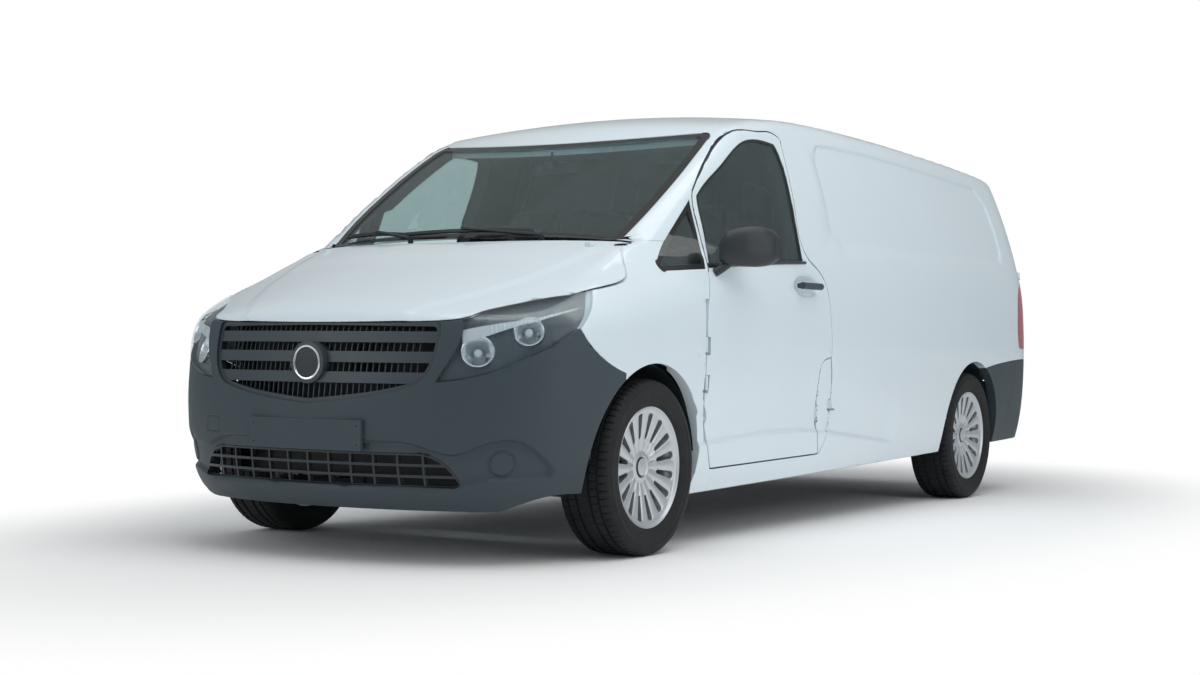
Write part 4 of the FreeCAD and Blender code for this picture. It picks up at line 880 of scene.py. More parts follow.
class VanStage(bpy.types.PropertyGroup):
    """Camera place and light level"""

    camera_x: bpy.props.FloatProperty(
        name="Camera forward", description="Camera's distance ahead of the van's middle",
        default=7.9052, unit="LENGTH")
    camera_y: bpy.props.FloatProperty(
        name="Camera left", description="Camera's distance to the van's left", default=4.4389,
        unit="LENGTH")
    camera_z: bpy.props.FloatProperty(
        name="Camera height", description="Camera's height over the floor", default=0.7854,
        unit="LENGTH")
    camera_yaw: bpy.props.FloatProperty(
        name="Camera heading", description="Direction that the camera looks, from forward",
        default=3.689619, unit="ROTATION")
    camera_pitch: bpy.props.FloatProperty(
        name="Camera dip", description="How far the camera looks down", default=-0.005248,
        unit="ROTATION")
    camera_roll: bpy.props.FloatProperty(
        name="Camera roll", description="How far the camera leans", default=0.009086,
        unit="ROTATION")
    lens: bpy.props.FloatProperty(
        name="Lens", description="Focal length on a 36 mm sensor, in mm", default=56.05)
    sky: bpy.props.FloatProperty(
        name="Sky level", description="Strength of the even light all round", default=0.5)
    softbox: bpy.props.FloatProperty(
        name="Softbox power", description="Power of the big light above, in watts", default=170.0)


def step_up(value, width):
    """0 below a line, 1 above it, smooth over a width that is centred on the line."""
    t = np.clip(value / width + 0.5, 0, 1)
    return t * t * (3 - 2 * t)


def inside_depth(points, outline):
    """Distance inside a closed 2-D outline, negative outside it."""
    loop = [np.array(outline, float)]
    gap = clearance(points, loop)
    return np.where(within(points, loop), gap, -gap)


def line_height(line, x):
    """Height of a polyline at x, for points that run along x."""
    pts = sorted(line)
    return np.interp(x, [p[0] for p in pts], [p[1] for p in pts])


# The side's pressed panel: its top and rear edges are crisp, its foot fades out
SIDE_PRESSING = [(146, 1727), (-165, 1744), (-641, 1745), (-1280, 1726), (-2032, 1690),
                 (-2139, 1602), (-2172, 1451), (-2180, 1283), (-2198, 1233), (-1926, 1217),
                 (305, 1174), (190, 1450)]
SIDE_PRESSING_DEPTH = 9.0
# The flare over the sill, which catches a bright line of light
FLARE_LINE = [(1500, 400), (990, 424), (788, 434), (492, 433), (171, 413), (-179, 378),
              (-506, 346), (-900, 300)]
FLARE_DEPTH = 12.0
HANDLE_CENTRE = (476.0, 1059.0)
HANDLE_RECESS = (128.0, 46.0)
HANDLE_DEPTH = 22.0
# The bonnet's raised middle ends at a soft line on each side
BONNET_RIDGE = [(1800, 700), (2000, 664), (2200, 600), (2400, 500), (2560, 390)]
BONNET_RIDGE_DEPTH = 5.0


def body_relief(p):
    """Depth pressed into the painted panels."""
    x, y, z = p.T
    side = np.stack([x, z], 1)
    deep = np.zeros(len(p))
    load = (x < 300) & (z > 900) & (np.abs(y) > 600)
    if load.any():
        d = inside_depth(side[load], SIDE_PRESSING)
        edge = 14.0 + 130.0 * (1 - step_up(z[load] - 1290, 120))
        edge = edge + 160.0 * step_up(x[load] - 60, 160)
        deep[load] += SIDE_PRESSING_DEPTH * step_up(d - edge / 2, edge)
    low = (z < 760) & (x < 1500) & (x > -900) & (np.abs(y) > 500)
    over = z - line_height(FLARE_LINE, x)
    fade = step_up(180 - over, 240) * step_up(x + 560, 160) * step_up(1480 - x, 160)
    deep += np.where(low, FLARE_DEPTH * step_up(over, 16.0) * fade, 0)
    near = (np.abs(x - HANDLE_CENTRE[0]) < 190) & (np.abs(z - HANDLE_CENTRE[1]) < 90)
    across = np.sqrt(((x - HANDLE_CENTRE[0]) / HANDLE_RECESS[0]) ** 2
                     + ((z - HANDLE_CENTRE[1]) / HANDLE_RECESS[1]) ** 2)
    deep += np.where(near & (np.abs(y) > 700), HANDLE_DEPTH * step_up(0.86 - across, 0.36), 0)
    top = (x > 1700) & (z > 850) & (np.abs(y) < 830)
    out = np.abs(y) - line_height(BONNET_RIDGE, x)
    ridge = BONNET_RIDGE_DEPTH * step_up(out, 60.0) * step_up(x - 1800, 120)
    return deep + np.where(top, ridge, 0)


# The lower face of the front bumper is set back under an eyebrow that runs over the fog lamp blank
BROW = [(0, 449), (250, 449), (387, 449), (440, 443), (472, 435), (515, 420), (552, 409), (590, 405),
        (627, 413), (660, 432), (698, 449), (735, 458), (762, 459), (790, 452), (808, 438), (828, 410),
        (844, 380), (852, 345), (840, 318), (812, 312), (740, 305), (690, 310), (640, 300), (591, 285),
        (424, 275), (200, 277), (0, 280)]
BROW_DEPTH = 16.0
FOG_BLANK = (2486.0, 734.0, 368.0)
FOG_RADIUS = 42.0
TOW_COVER = (-545.0, -465.0, 457.0, 513.0)
SEAM_WIDTH = 4.0
SEAM_DEPTH = 3.0


def bumper_relief(p):
    """Depth that the front bumper's moulded forms lie below its skin."""
    x, y, z = p.T
    flat = np.stack([np.abs(y), z], 1)
    low = (z < 500) & (x > 1900)
    deep = np.zeros(len(p))
    if low.any():
        d = inside_depth(flat[low], BROW)
        middle = np.abs(y[low]) < 60
        d = np.where(middle, np.minimum(449 - z[low], z[low] - 280), d)
        deep[low] += BROW_DEPTH * step_up(d - 5, 16.0)
    r = np.sqrt((x - FOG_BLANK[0]) ** 2 + (np.abs(y) - FOG_BLANK[1]) ** 2 + (z - FOG_BLANK[2]) ** 2)
    deep -= 5.0 * step_up(FOG_RADIUS - r, 8.0)
    deep += SEAM_DEPTH * step_up(SEAM_WIDTH - np.abs(r - FOG_RADIUS - 5), SEAM_WIDTH)
    y0, y1, z0, z1 = TOW_COVER
    away = np.maximum(np.abs(y - (y0 + y1) / 2) - (y1 - y0) / 2, np.abs(z - (z0 + z1) / 2) - (z1 - z0) / 2)
    groove = SEAM_DEPTH * step_up(SEAM_WIDTH / 2 - np.abs(away), SEAM_WIDTH / 2)
    return deep + np.where((y < 0) & (x > 2400), groove, 0)


SIDEWAYS = 0.8
CHARTS = {
    "side_panel_left": FlatChart((-0.35, SIDEWAYS, 0.45)),
    "side_panel_right": FlatChart((-0.35, -SIDEWAYS, 0.45)),
    "sliding_door": FlatChart((0, -1, 0.3)),
    "door_left": FlatChart((0, 1, 0.3)),
    "door_right": FlatChart((0, -1, 0.3)),
    "fuel_flap": FlatChart((0, 1, 0.1)),
    "bonnet": FlatChart((0.45, 0, 0.9)),
    "front_bumper": RoundChart(1700, 1),
    "rear_bumper": RoundChart(-1900, -1),
}


class VAN_OT_panels(bpy.types.Operator):
    """Draws the painted panels with their pressings and rounded shut lines"""

    bl_idname = "van.panels"
    bl_label = "Painted panels"

    def execute(self, context):
        paint = [FINISH["body_paint"], FINISH["trim"]]
        for name in ("side_panel_left", "side_panel_right"):
            dress(name, CHARTS[name], paint, step=34, slack=12, dent=body_relief, fine=11)
        for name in ("door_left", "door_right", "sliding_door"):
            dress(name, CHARTS[name], paint, step=30, slack=6, dent=body_relief, fine=9)
        dress("fuel_flap", CHARTS["fuel_flap"], paint, step=16, slack=6, dent=body_relief, fine=8)
        dress("bonnet", CHARTS["bonnet"], paint, step=30, slack=12, dent=body_relief, fine=15)
        for side in (1, -1):
            dress("front_fenders", FlatChart((0.5, side * SIDEWAYS, 0.3)), paint, step=26, slack=12,
                  dent=body_relief, fine=10, side=side)
        return {"FINISHED"}


class VAN_OT_bumpers(bpy.types.Operator):
    """Draws the front bumper with its moulded forms"""

    bl_idname = "van.bumpers"
    bl_label = "Bumpers"

    def execute(self, context):
        plastic = [FINISH["bumper_plastic"], FINISH["bumper_plastic"]]
        dress("front_bumper", CHARTS["front_bumper"], plastic, step=22, slack=12,
              dent=bumper_relief, fine=5)
        return {"FINISHED"}


class Form:
    """Gathers one piece's surfaces: points in millimetres, faces and their finishes."""

    def __init__(self):
        self.points = []
        self.faces = []
        self.ids = []

    def grid(self, rows, finish=0, closed=False, ring=False):
        """Sheet over rows of points; closed joins last row to first, ring each row's ends."""
        start = len(self.points)
        rows = [np.asarray(row, float) for row in rows]
        wide = len(rows[0])
        tall = len(rows)
        self.points.extend(np.concatenate(rows).tolist())
        for i in range(tall if closed else tall - 1):
            a = start + i * wide
            b = start + (i + 1) % tall * wide
            for j in range(wide if ring else wide - 1):
                k = (j + 1) % wide
                self.faces.append((a + j, a + k, b + k, b + j))
                self.ids.append(finish)

    def turned(self, profile, centre, axis, count=48, finish=0):
        """Profile of (radius, distance along the axis) turned round an axis."""
        axis = unit(axis)
        side = unit(np.cross(axis, (0.0, 0.0, 1.0) if abs(axis[2]) < 0.9 else (1.0, 0.0, 0.0)))
        up = np.cross(axis, side)
        angles = np.arange(count) * 2 * math.pi / count
        ring = np.cos(angles)[:, None] * side + np.sin(angles)[:, None] * up
        rows = [np.asarray(centre, float) + axis * along + ring * radius for radius, along in profile]
        self.grid(rows, finish, ring=True)

    def tube(self, path, radius, sides=10, finish=0):
        """Round bar along a path, its ends closed; radius may change along it."""
        path = np.asarray(path, float)
        radii = np.broadcast_to(radius, len(path))
        ahead = np.gradient(path, axis=0)
        rows = []
        side = None
        for p, way, r in zip(path, ahead, radii):
            way = unit(way)
            if side is None:
                side = unit(np.cross(way, (0.0, 0.0, 1.0) if abs(way[2]) < 0.9 else (1.0, 0.0, 0.0)))
            side = unit(side - way * (side @ way))
            up = np.cross(way, side)
            angles = np.arange(sides) * 2 * math.pi / sides
            rows.append(p + r * (np.cos(angles)[:, None] * side + np.sin(angles)[:, None] * up))
        rows = [np.repeat(path[:1], sides, 0)] + rows + [np.repeat(path[-1:], sides, 0)]
        self.grid(rows, finish, ring=True)

    def block(self, low, high, finish=0, soft=1.5):
        """Rounded block between two corners."""
        low, high = np.asarray(low, float), np.asarray(high, float)
        mid, half = (low + high) / 2, (high - low) / 2
        soft = min(soft, half.min() * 0.9)
        around = [(1, 1), (-1, 1), (-1, -1), (1, -1)]
        rows = []
        for z, shrink in ((-1, soft), (-1, 0.0), (1, 0.0), (1, soft)):
            depth = half[2] - (0.0 if shrink else soft)
            ring = []
            for k, (sx, sy) in enumerate(around):
                x, y = half[0] - shrink, half[1] - shrink
                first, second = ((x, y - soft), (x - soft, y)) if k % 2 == 0 else (
                    (x - soft, y), (x, y - soft))
                ring += [(sx * first[0], sy * first[1], z * depth), (sx * second[0], sy * second[1], z * depth)]
            rows.append(mid + np.array(ring))
        rows = [np.repeat(rows[0].mean(0)[None], 8, 0)] + rows + [np.repeat(rows[-1].mean(0)[None], 8, 0)]
        self.grid(rows, finish, ring=True)

    def done(self, name, slots, body, sharp=35.0, weld=0.02, place=None, spin=0.0):
        """The piece itself, welded, its faces turned outward, riding on its body."""
        bm = bmesh.new()
        verts = [bm.verts.new((p[0] * MM, p[1] * MM, p[2] * MM)) for p in self.points]
        for face, finish in zip(self.faces, self.ids):
            made = bm.faces.new([verts[i] for i in face])
            made.material_index = finish
            made.smooth = True
        bmesh.ops.remove_doubles(bm, verts=bm.verts, dist=weld * MM)
        bmesh.ops.dissolve_degenerate(bm, dist=0.005 * MM, edges=bm.edges)
        bmesh.ops.recalc_face_normals(bm, faces=bm.faces)
        mesh = bpy.data.meshes.new(name)
        bm.to_mesh(mesh)
        bm.free()
        for slot in slots:
            mesh.materials.append(slot)
        mesh.set_sharp_from_angle(angle=math.radians(sharp))
        return placed(name, mesh, body, place, spin)


def placed(name, mesh, body, place=None, spin=0.0):
    piece = bpy.data.objects.new(name, mesh)
    bpy.context.scene.collection.objects.link(piece)
    if place is not None:
        piece.location = Vector(place) * MM
    piece.rotation_euler = (0, 0, spin)
    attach(piece, body)
    return piece


def node_box(name):
    low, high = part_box(name)
    return np.array(low) / MM, np.array(high) / MM


SPOKES = 16
SPOKE_ROOT = 60.0
POCKET_INNER = 108.0
POCKET_OUTER = 207.0
POCKET_HALF = [(108, 6.5), (120, 8.0), (160, 11.5), (207, 16.0)]
RIM_EDGE = 231.0
TREAD_BLOCKS = 72


def pocket_half(r):
    """Half the width of the opening between two spokes at a radius, rounded at its ends."""
    width = np.interp(r, [p[0] for p in POCKET_HALF], [p[1] for p in POCKET_HALF])
    inner = np.clip((r - POCKET_INNER) / 8.0, 0, 1)
    outer = np.clip((POCKET_OUTER - r) / 10.0, 0, 1)
    return width * np.sqrt(1 - (1 - inner) ** 2) * np.sqrt(1 - (1 - outer) ** 2)


def wheel_face(r):
    """How far out the face of the wheel stands at a radius."""
    return 60.0 + 25.0 * np.clip((r - SPOKE_ROOT) / 150.0, 0, 1) ** 0.85


def wheel_form():
    """Cast wheel: fan of sixteen crowned spokes, dished hub, cap, rim and lip."""
    form = Form()
    radii = np.concatenate([np.linspace(SPOKE_ROOT, POCKET_INNER, 6), [109, 111, 114, 117],
                            np.linspace(122, 196, 10), [199, 202, 204.5, 206.2, POCKET_OUTER, 210.0]])
    pitch = 2 * math.pi / SPOKES
    across = np.linspace(-1, 1, 9)
    for i in range(SPOKES):
        centre = i * pitch
        top, back = [], []
        for r in radii:
            half = pitch / 2 - pocket_half(r) / r
            angle = centre + across * half
            fall = 4.5 * np.abs(across) ** 3 + 2.0 * (1 - across ** 2) * 0
            groove = 5.0 * np.clip((POCKET_INNER - r) / 30.0, 0, 1) * np.abs(across) ** 6
            near = np.clip((210.0 - r) / 8.0, 0, 1)
            y = wheel_face(r) - (fall + groove) * near * np.clip((r - SPOKE_ROOT) / 15.0, 0, 1)
            top.append(np.stack([r * np.sin(angle), y, r * np.cos(angle)], 1))
            back.append(np.stack([r * np.sin(angle), y * 0 + wheel_face(r) - 34.0, r * np.cos(angle)], 1))
        form.grid(top)
        open_rows = [k for k, r in enumerate(radii) if POCKET_INNER <= r <= POCKET_OUTER]
        for side in (0, -1):
            form.grid([[top[k][side] for k in open_rows], [back[k][side] for k in open_rows]])
        form.grid([back[k] for k in open_rows])
    hub = [(SPOKE_ROOT, wheel_face(60.0)), (56.0, 61.5), (50.0, 64.0), (44.0, 64.5), (41.0, 62.5),
           (38.0, 61.0)]
    form.turned(hub, (0, 0, 0), (0, 1, 0), 96)
    form.turned([(38.0, 61.0), (36.5, 60.0), (36.0, 64.5), (33.0, 66.5)], (0, 0, 0), (0, 1, 0), 64, 1)
    form.turned([(33.0, 66.5), (31.5, 67.2), (30.5, 66.4)], (0, 0, 0), (0, 1, 0), 64, 0)
    form.turned([(30.5, 66.4), (24.0, 66.8), (12.0, 67.6), (0.01, 68.0)], (0, 0, 0), (0, 1, 0), 64, 0)
    rim = [(210.0, wheel_face(210.0)), (216.0, 86.0), (222.0, 90.0), (226.0, 95.5), (229.5, 98.0),
           (RIM_EDGE, 96.5), (230.0, 92.0), (222.0, 86.0), (212.0, 78.0), (205.0, 62.0),
           (203.0, 20.0), (198.0, -20.0), (198.0, -55.0), (208.0, -78.0), (216.0, -85.0),
           (RIM_EDGE, -94.0), (RIM_EDGE, -97.0), (222.0, -97.0), (206.0, -84.0), (192.0, -60.0),
           (192.0, -20.0), (197.0, 22.0), (199.0, 45.0), (205.0, 60.0)]
    form.turned(rim, (0, 0, 0), (0, 1, 0), 128)
    form.turned([(66.0, 20.0), (70.0, 24.0), (70.0, 30.0), (POCKET_INNER, wheel_face(110.0) - 34.0)],
                (0, 0, 0), (0, 1, 0), 48)
    return form


def tyre_form(radius, width):
    """Tyre with grooved tread blocks, ribbed shoulders and ringed sidewalls."""
    half = width / 2
    groove = 8.0
    columns = [(-half + 8, radius - 13, 0), (-half + 17, radius - 5, 1), (-half + 30, radius - 1.2, 1),
               (-72, radius - 0.4, 1), (-71, radius - groove, 0), (-62, radius - groove, 0),
               (-61, radius - 0.2, 2), (-34, radius, 2), (-33, radius - groove, 0),
               (-24, radius - groove, 0), (-23, radius, 2)]
    columns += [(-y, r, kind) for y, r, kind in reversed(columns)]
    count = TREAD_BLOCKS * 6
    angles = np.arange(count) * 2 * math.pi / count
    form = Form()
    rows = []
    for y, r, kind in columns:
        phase = np.arange(count) % 6
        shift = 3 if y > 0 else 0
        cut = np.zeros(count)
        if kind == 1:
            cut = np.where(phase == (shift % 6), 5.5, 0.0)
        if kind == 2:
            cut = np.where((phase + shift) % 6 == 4, 4.0, 0.0)
        rr = r - cut
        rows.append(np.stack([rr * np.sin(angles), np.full(count, y, float), rr * np.cos(angles)], 1))
    form.grid(rows, ring=True)
    wall = [(half - 8, radius - 13), (half - 4, radius - 22), (half - 1.5, radius - 34),
            (half - 0.3, radius - 36), (half, radius - 40), (half - 1.5, radius - 43),
            (half - 0.8, radius - 56), (half - 2.0, radius - 70), (half - 3.2, radius - 71.5),
            (half - 3.6, radius - 80), (half - 7.0, radius - 88), (half - 7.5, radius - 91),
            (half - 13.0, radius - 97), (half - 15.0, RIM_EDGE + 3.0), (half - 20.0, RIM_EDGE - 2.0),
            (half - 27.0, RIM_EDGE - 12.0)]
    coarse = angles[::3]
    for sign in (1, -1):
        profile = [np.stack([r * np.sin(coarse), np.full(len(coarse), y * sign), r * np.cos(coarse)], 1)
                   for y, r in wall[1:]]
        form.grid(profile, ring=True)
        first = np.stack([wall[0][1] * np.sin(angles), np.full(count, wall[0][0] * sign),
                          wall[0][1] * np.cos(angles)], 1)
        second = np.stack([wall[1][1] * np.sin(angles), np.full(count, wall[1][0] * sign),
                           wall[1][1] * np.cos(angles)], 1)
        form.grid([first, second], ring=True)
    return form


WHEELS = {"fl": "wheel_front_left", "fr": "wheel_front_right", "rl": "wheel_rear_left",
          "rr": "wheel_rear_right"}


class VAN_OT_wheels(bpy.types.Operator):
    """Makes the cast wheels with their caps, and the tyres with their tread"""

    bl_idname = "van.wheels"
    bl_label = "Wheels and tyres"

    def execute(self, context):
        low, high = node_box("tyre_fl")
        radius = (high[2] - low[2]) / 2
        width = high[1] - low[1]
        rim_mesh = tyre_mesh = None
        for key, body in WHEELS.items():
            low, high = node_box("tyre_" + key)
            middle = (low + high) / 2
            turn = 0.0 if middle[1] > 0 else math.pi
            if rim_mesh is None:
                rim = wheel_form().done("cast_wheel_" + key, [FINISH["alloy"], FINISH["black_plastic"]],
                                        body, 30.0, place=middle, spin=turn)
                tyre = tyre_form(radius, width).done("road_tyre_" + key, [FINISH["tyre"]], body, 32.0,
                                                     place=middle, spin=turn)
                rim_mesh, tyre_mesh = rim.data, tyre.data
            else:
                rim = placed("cast_wheel_" + key, rim_mesh, body, middle, turn)
                tyre = placed("road_tyre_" + key, tyre_mesh, body, middle, turn)
            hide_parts("rim_" + key)
            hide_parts("tyre_" + key)
        return {"FINISHED"}


# Sections of the mirror's housing, from its inner end out: y, x, width, z, height
MIRROR_RINGS = [(957, 1262, 70, 1175, 90), (985, 1236, 112, 1190, 148),
                (1050, 1170, 128, 1197, 166), (1095, 1118, 110, 1196, 146),
                (1120, 1092, 60, 1194, 88)]
MIRROR_POWER = 2.7
MIRROR_ARM = [(1285.0, 932.0, 1088.0), (1272.0, 950.0, 1100.0), (1252.0, 975.0, 1122.0),
              (1238.0, 992.0, 1150.0)]


def mirror_rings(count):
    """Sections of the housing, evenly spread and rounded off at both ends."""
    data = np.array(MIRROR_RINGS, float)
    at = np.linspace(data[0, 0], data[-1, 0], count)
    rows = [curve(list(zip(data[:, 0], data[:, k])), 6)(at) for k in range(1, 5)]
    return np.stack([at, *rows], 1)


def mirror_section(ring, side, shrink, back, count=44):
    """One section: rounded ahead, flatter on the mirror's side."""
    y, x, w, z, h = ring
    turn = np.arange(count) * 2 * math.pi / count
    c, s = np.cos(turn), np.sin(turn)
    r = (np.abs(c) ** MIRROR_POWER + np.abs(s) ** MIRROR_POWER) ** (-1 / MIRROR_POWER)
    out_x = x + np.maximum(w / 2 * r * c * shrink, -back * w / 2)
    out_z = z + h / 2 * r * s * shrink
    crease = 2.0 * np.exp(-((out_z - z) / 9.0) ** 2) * (c > 0)
    return np.stack([out_x - crease, np.full(count, side * y), out_z], 1)


class VAN_OT_mirrors(bpy.types.Operator):
    """Makes the door mirrors: housing, mirror glass and foot"""

    bl_idname = "van.mirrors"
    bl_label = "Mirrors"

    def execute(self, context):
        rings = mirror_rings(25)
        for side, name in ((1, "left"), (-1, "right")):
            form = Form()
            rows = [mirror_section(rings[0], side, 0.05, 0.8), mirror_section(rings[0], side, 0.8, 0.8)]
            rows += [mirror_section(ring, side, 1.0, 0.8) for ring in rings]
            rows += [mirror_section(rings[-1], side, 0.7, 0.8), mirror_section(rings[-1], side, 0.05, 0.8)]
            form.grid(rows, 0, ring=True)
            inner = rings[(rings[:, 0] > 988) & (rings[:, 0] < 1098)]
            glass = []
            for y, x, w, z, h in inner:
                back = x - 0.8 * w / 2 - 1.0
                glass.append([(back, side * y, z - 0.38 * h), (back - 1.0, side * y, z),
                              (back, side * y, z + 0.38 * h)])
            form.grid(glass, 1)
            form.tube([(x, side * y, z) for x, y, z in MIRROR_ARM], [19, 17, 16, 17], 20, 0)
            piece = form.done("door_mirror_" + name, [FINISH["black_plastic"], FINISH["reflector"]],
                              "door_%s_body" % name, 40.0)
            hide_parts("mirror_" + name)
        return {"FINISHED"}


LAMP_BOWLS = [((2531.0, 653.0, 772.0), 60.0, 46.0), ((2414.0, 798.0, 844.0), 55.0, 40.0)]
LAMP_STRIP = [[(2552, 596, 846), (2500, 680, 866), (2440, 752, 888), (2380, 812, 910),
               (2300, 860, 939), (2215, 892, 964)],
              [(2560, 604, 800), (2508, 688, 822), (2450, 758, 848), (2392, 816, 878),
               (2306, 862, 915), (2225, 893, 944)]]
STRIP_RIBS = 30
BEZEL_INSET = 24.0
LENS_WALL = 6.0


def set_in(p, depth):
    """Point of the skin nearest to a point, moved in by a depth, and the way out there."""
    p = np.array(p, float)
    for _ in range(6):
        n = skin_normal(p[:, None])[0]
        p = p - n * (skin_gap(p[:, None])[0] + depth)
    return p, skin_normal(p[:, None])[0]


def lamp_chart(side):
    return FlatChart((0.80, side * 0.50, 0.33))


def lamp_housing(side):
    """Bezel behind the lens, open at the bowls, and the wall from the lens back to it."""
    points, tris = node_mesh("headlamp_lenses")
    tris = tris[points[tris].mean(1)[:, 1] * side > 0]
    loops = outline_loops(points, tris[outward_faces(points, tris)], 14.0)
    chart = lamp_chart(side)
    turn = np.arange(48)[:, None] * 2 * math.pi / 48
    holes = []
    for spot, radius, _ in LAMP_BOWLS:
        centre, _ = set_in(np.array(spot) * (1, side, 1), BEZEL_INSET)
        holes.append(centre + (radius - 3) * (np.cos(turn) * chart.a + np.sin(turn) * chart.b))
    panel = Panel(chart, loops + holes, 16.0, BEZEL_INSET, edge=1.0)
    all_points = list(panel.points)
    faces = list(panel.faces)
    base = sum(len(p) for p in all_points)
    for loop, (rim, _) in zip(loops, panel.rim):
        count = len(loop)
        front = loop - skin_normal(loop.T) * LENS_WALL
        all_points += [front, rim]
        faces += [(base + i, base + count + i, base + count + (i + 1) % count, base + (i + 1) % count)
                  for i in range(count)]
        base += 2 * count
    name = "headlamp_housing_" + ("left" if side > 0 else "right")
    piece = add_mesh(name, np.concatenate(all_points), None, faces, [FINISH["lamp_body"]], "van_body")
    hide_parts("headlamps")


def lamp_form(side):
    """Two reflector bowls with their bulb shields and the ribbed indicator strip above."""
    form = Form()
    for spot, radius, deep in LAMP_BOWLS:
        spot = np.array(spot) * (1, side, 1)
        centre, _ = set_in(spot, BEZEL_INSET - 3.0)
        out = lamp_chart(side).d
        bowl = [(radius, 0.0), (radius - 2, 2.0), (radius - 5, 0.0)]
        for k in range(1, 9):
            t = k / 8
            bowl.append(((radius - 5) * (1 - t) + 9 * t, -deep * math.sin(t * math.pi / 2)))
        form.turned(bowl, centre, out, 48, 1)
        shield = [(9, -deep), (9, -deep + 10), (15, -deep + 12), (15, -deep + 24), (12, -deep + 29),
                  (6, -deep + 31), (0.01, -deep + 31.5)]
        form.turned(shield, centre, out, 32, 2)
    upper, lower = (np.array(run, float) * (1, side, 1) for run in LAMP_STRIP)
    t = np.linspace(0, 1, STRIP_RIBS * 2 + 1)
    at = np.linspace(0, 1, len(upper))
    rows = []
    for share in (0.0, 0.5, 1.0):
        row = []
        for k, place in enumerate(t):
            a = np.array([np.interp(place, at, upper[:, i]) for i in range(3)])
            b = np.array([np.interp(place, at, lower[:, i]) for i in range(3)])
            narrow = 1.0 - 0.55 * place
            p, _ = set_in(a + (b - a) * share * narrow, 11.0 if k % 2 else 14.0)
            row.append(p)
        rows.append(row)
    form.grid(rows, 2)
    return form


class VAN_OT_lamps(bpy.types.Operator):
    """Fits the headlamps with their bowls, bulb shields and bright strips"""

    bl_idname = "van.lamps"
    bl_label = "Headlamps"

    def execute(self, context):
        finishes = [FINISH["lamp_body"], FINISH["reflector"], FINISH["bright_reflector"]]
        for side, name in ((1, "left"), (-1, "right")):
            lamp_housing(side)
            lamp_form(side).done("headlamp_bowls_" + name, finishes, "van_body", 40.0)
        return {"FINISHED"}


GLASS_INSET = 2.0
BORDER_BANDS = {"windscreen": 36.0, "quarter_windows": 22.0, "door_glass_left": 12.0,
                "door_glass_right": 12.0}


class VAN_OT_glazing(bpy.types.Operator):
    """Draws the glass with its black printed borders"""

    bl_idname = "van.glazing"
    bl_label = "Glazing"

    def execute(self, context):
        slots = [FINISH["glazing"], FINISH["black_print"], FINISH["glazing"]]
        dress("windscreen", FlatChart((0.6, 0, 0.8)), slots, step=30, inset=GLASS_INSET, slack=5,
              band=BORDER_BANDS["windscreen"], edge=1.0)
        for side, name in ((1, "door_glass_left"), (-1, "door_glass_right")):
            dress(name, FlatChart((0, side, 0.2)), slots, step=26, inset=GLASS_INSET, slack=5,
                  band=BORDER_BANDS[name], edge=1.0)
            dress("quarter_windows", FlatChart((0.35, side, 0.3)), slots, step=16,
                  inset=GLASS_INSET, slack=5, band=BORDER_BANDS["quarter_windows"], edge=1.0,
                  side=side)
        return {"FINISHED"}


BADGE_CENTRE = (2672.0, 0.0, 722.0)
BADGE_PROFILE = [(76.0, -30.0), (76.0, -4.0), (74.0, 0.0), (66.0, 1.5), (64.0, 0.5)]
BADGE_RING = [(64.0, 0.5), (63.0, 4.0), (60.0, 6.0), (56.0, 5.5), (55.0, 2.0)]
BADGE_FACE = [(55.0, 2.0), (54.0, 1.0), (30.0, 2.5), (0.01, 3.2)]


class VAN_OT_front(bpy.types.Operator):
    """Adds the plain disc on the grille and the dark radiator core behind it"""

    bl_idname = "van.front"
    bl_label = "Grille disc and radiator core"

    def execute(self, context):
        form = Form()
        form.turned(BADGE_PROFILE, BADGE_CENTRE, (1, 0, 0), 72, 0)
        form.turned(BADGE_RING, BADGE_CENTRE, (1, 0, 0), 72, 1)
        form.turned(BADGE_FACE, BADGE_CENTRE, (1, 0, 0), 72, 2)
        form.done("grille_disc", [FINISH["grille_plastic"], FINISH["reflector"],
                                  FINISH["black_plastic"]], "van_body", 30.0)
        core = Form()
        core.block((2440, -500, 575), (2462, 500, 870), 0)
        core.block((2380, -560, 292), (2402, 560, 405), 0)
        core.done("radiator_core", [FINISH["black_print"]], "van_body", 30.0)
        return {"FINISHED"}


def cushion(form, low, high, bulge, seams, finish=0, power=3.6):
    """Stuffed block between two corners: crowned faces, with stitched lines across it."""
    low, high = np.array(low, float), np.array(high, float)
    middle, half = (low + high) / 2, (high - low) / 2
    rows = []
    steps = np.linspace(-1, 1, 25)
    turn = np.arange(40) * 2 * math.pi / 40
    for s in steps:
        end = (1 - abs(s) ** 6) ** (1 / 3) if abs(s) < 1 else 0.02
        sunk = sum(math.exp(-((s - seam) / 0.045) ** 2) for seam in seams)
        c, v = np.cos(turn), np.sin(turn)
        r = (np.abs(c) ** power + np.abs(v) ** power) ** (-1 / power)
        swell = 1 - bulge * 0.5 - bulge * 0.5 * sunk
        ring = np.stack([middle[0] + half[0] * r * c * end * swell,
                         np.full(len(turn), middle[1] + half[1] * s),
                         middle[2] + half[2] * r * v * end * swell], 1)
        rows.append(ring)
    form.grid(rows, finish, ring=True)


def leant(form, start, pivot, degrees):
    """Turns the points added since a start about a line across the van."""
    c, s = math.cos(math.radians(degrees)), math.sin(math.radians(degrees))
    for i in range(start, len(form.points)):
        x, y, z = form.points[i]
        x, z = x - pivot[0], z - pivot[1]
        form.points[i] = (pivot[0] + c * x + s * z, y, pivot[1] - s * x + c * z)


SEAT_PLACES = [("driver_seat", 170.0, 640.0, 1), ("pair_seat", -690.0, 90.0, 2)]


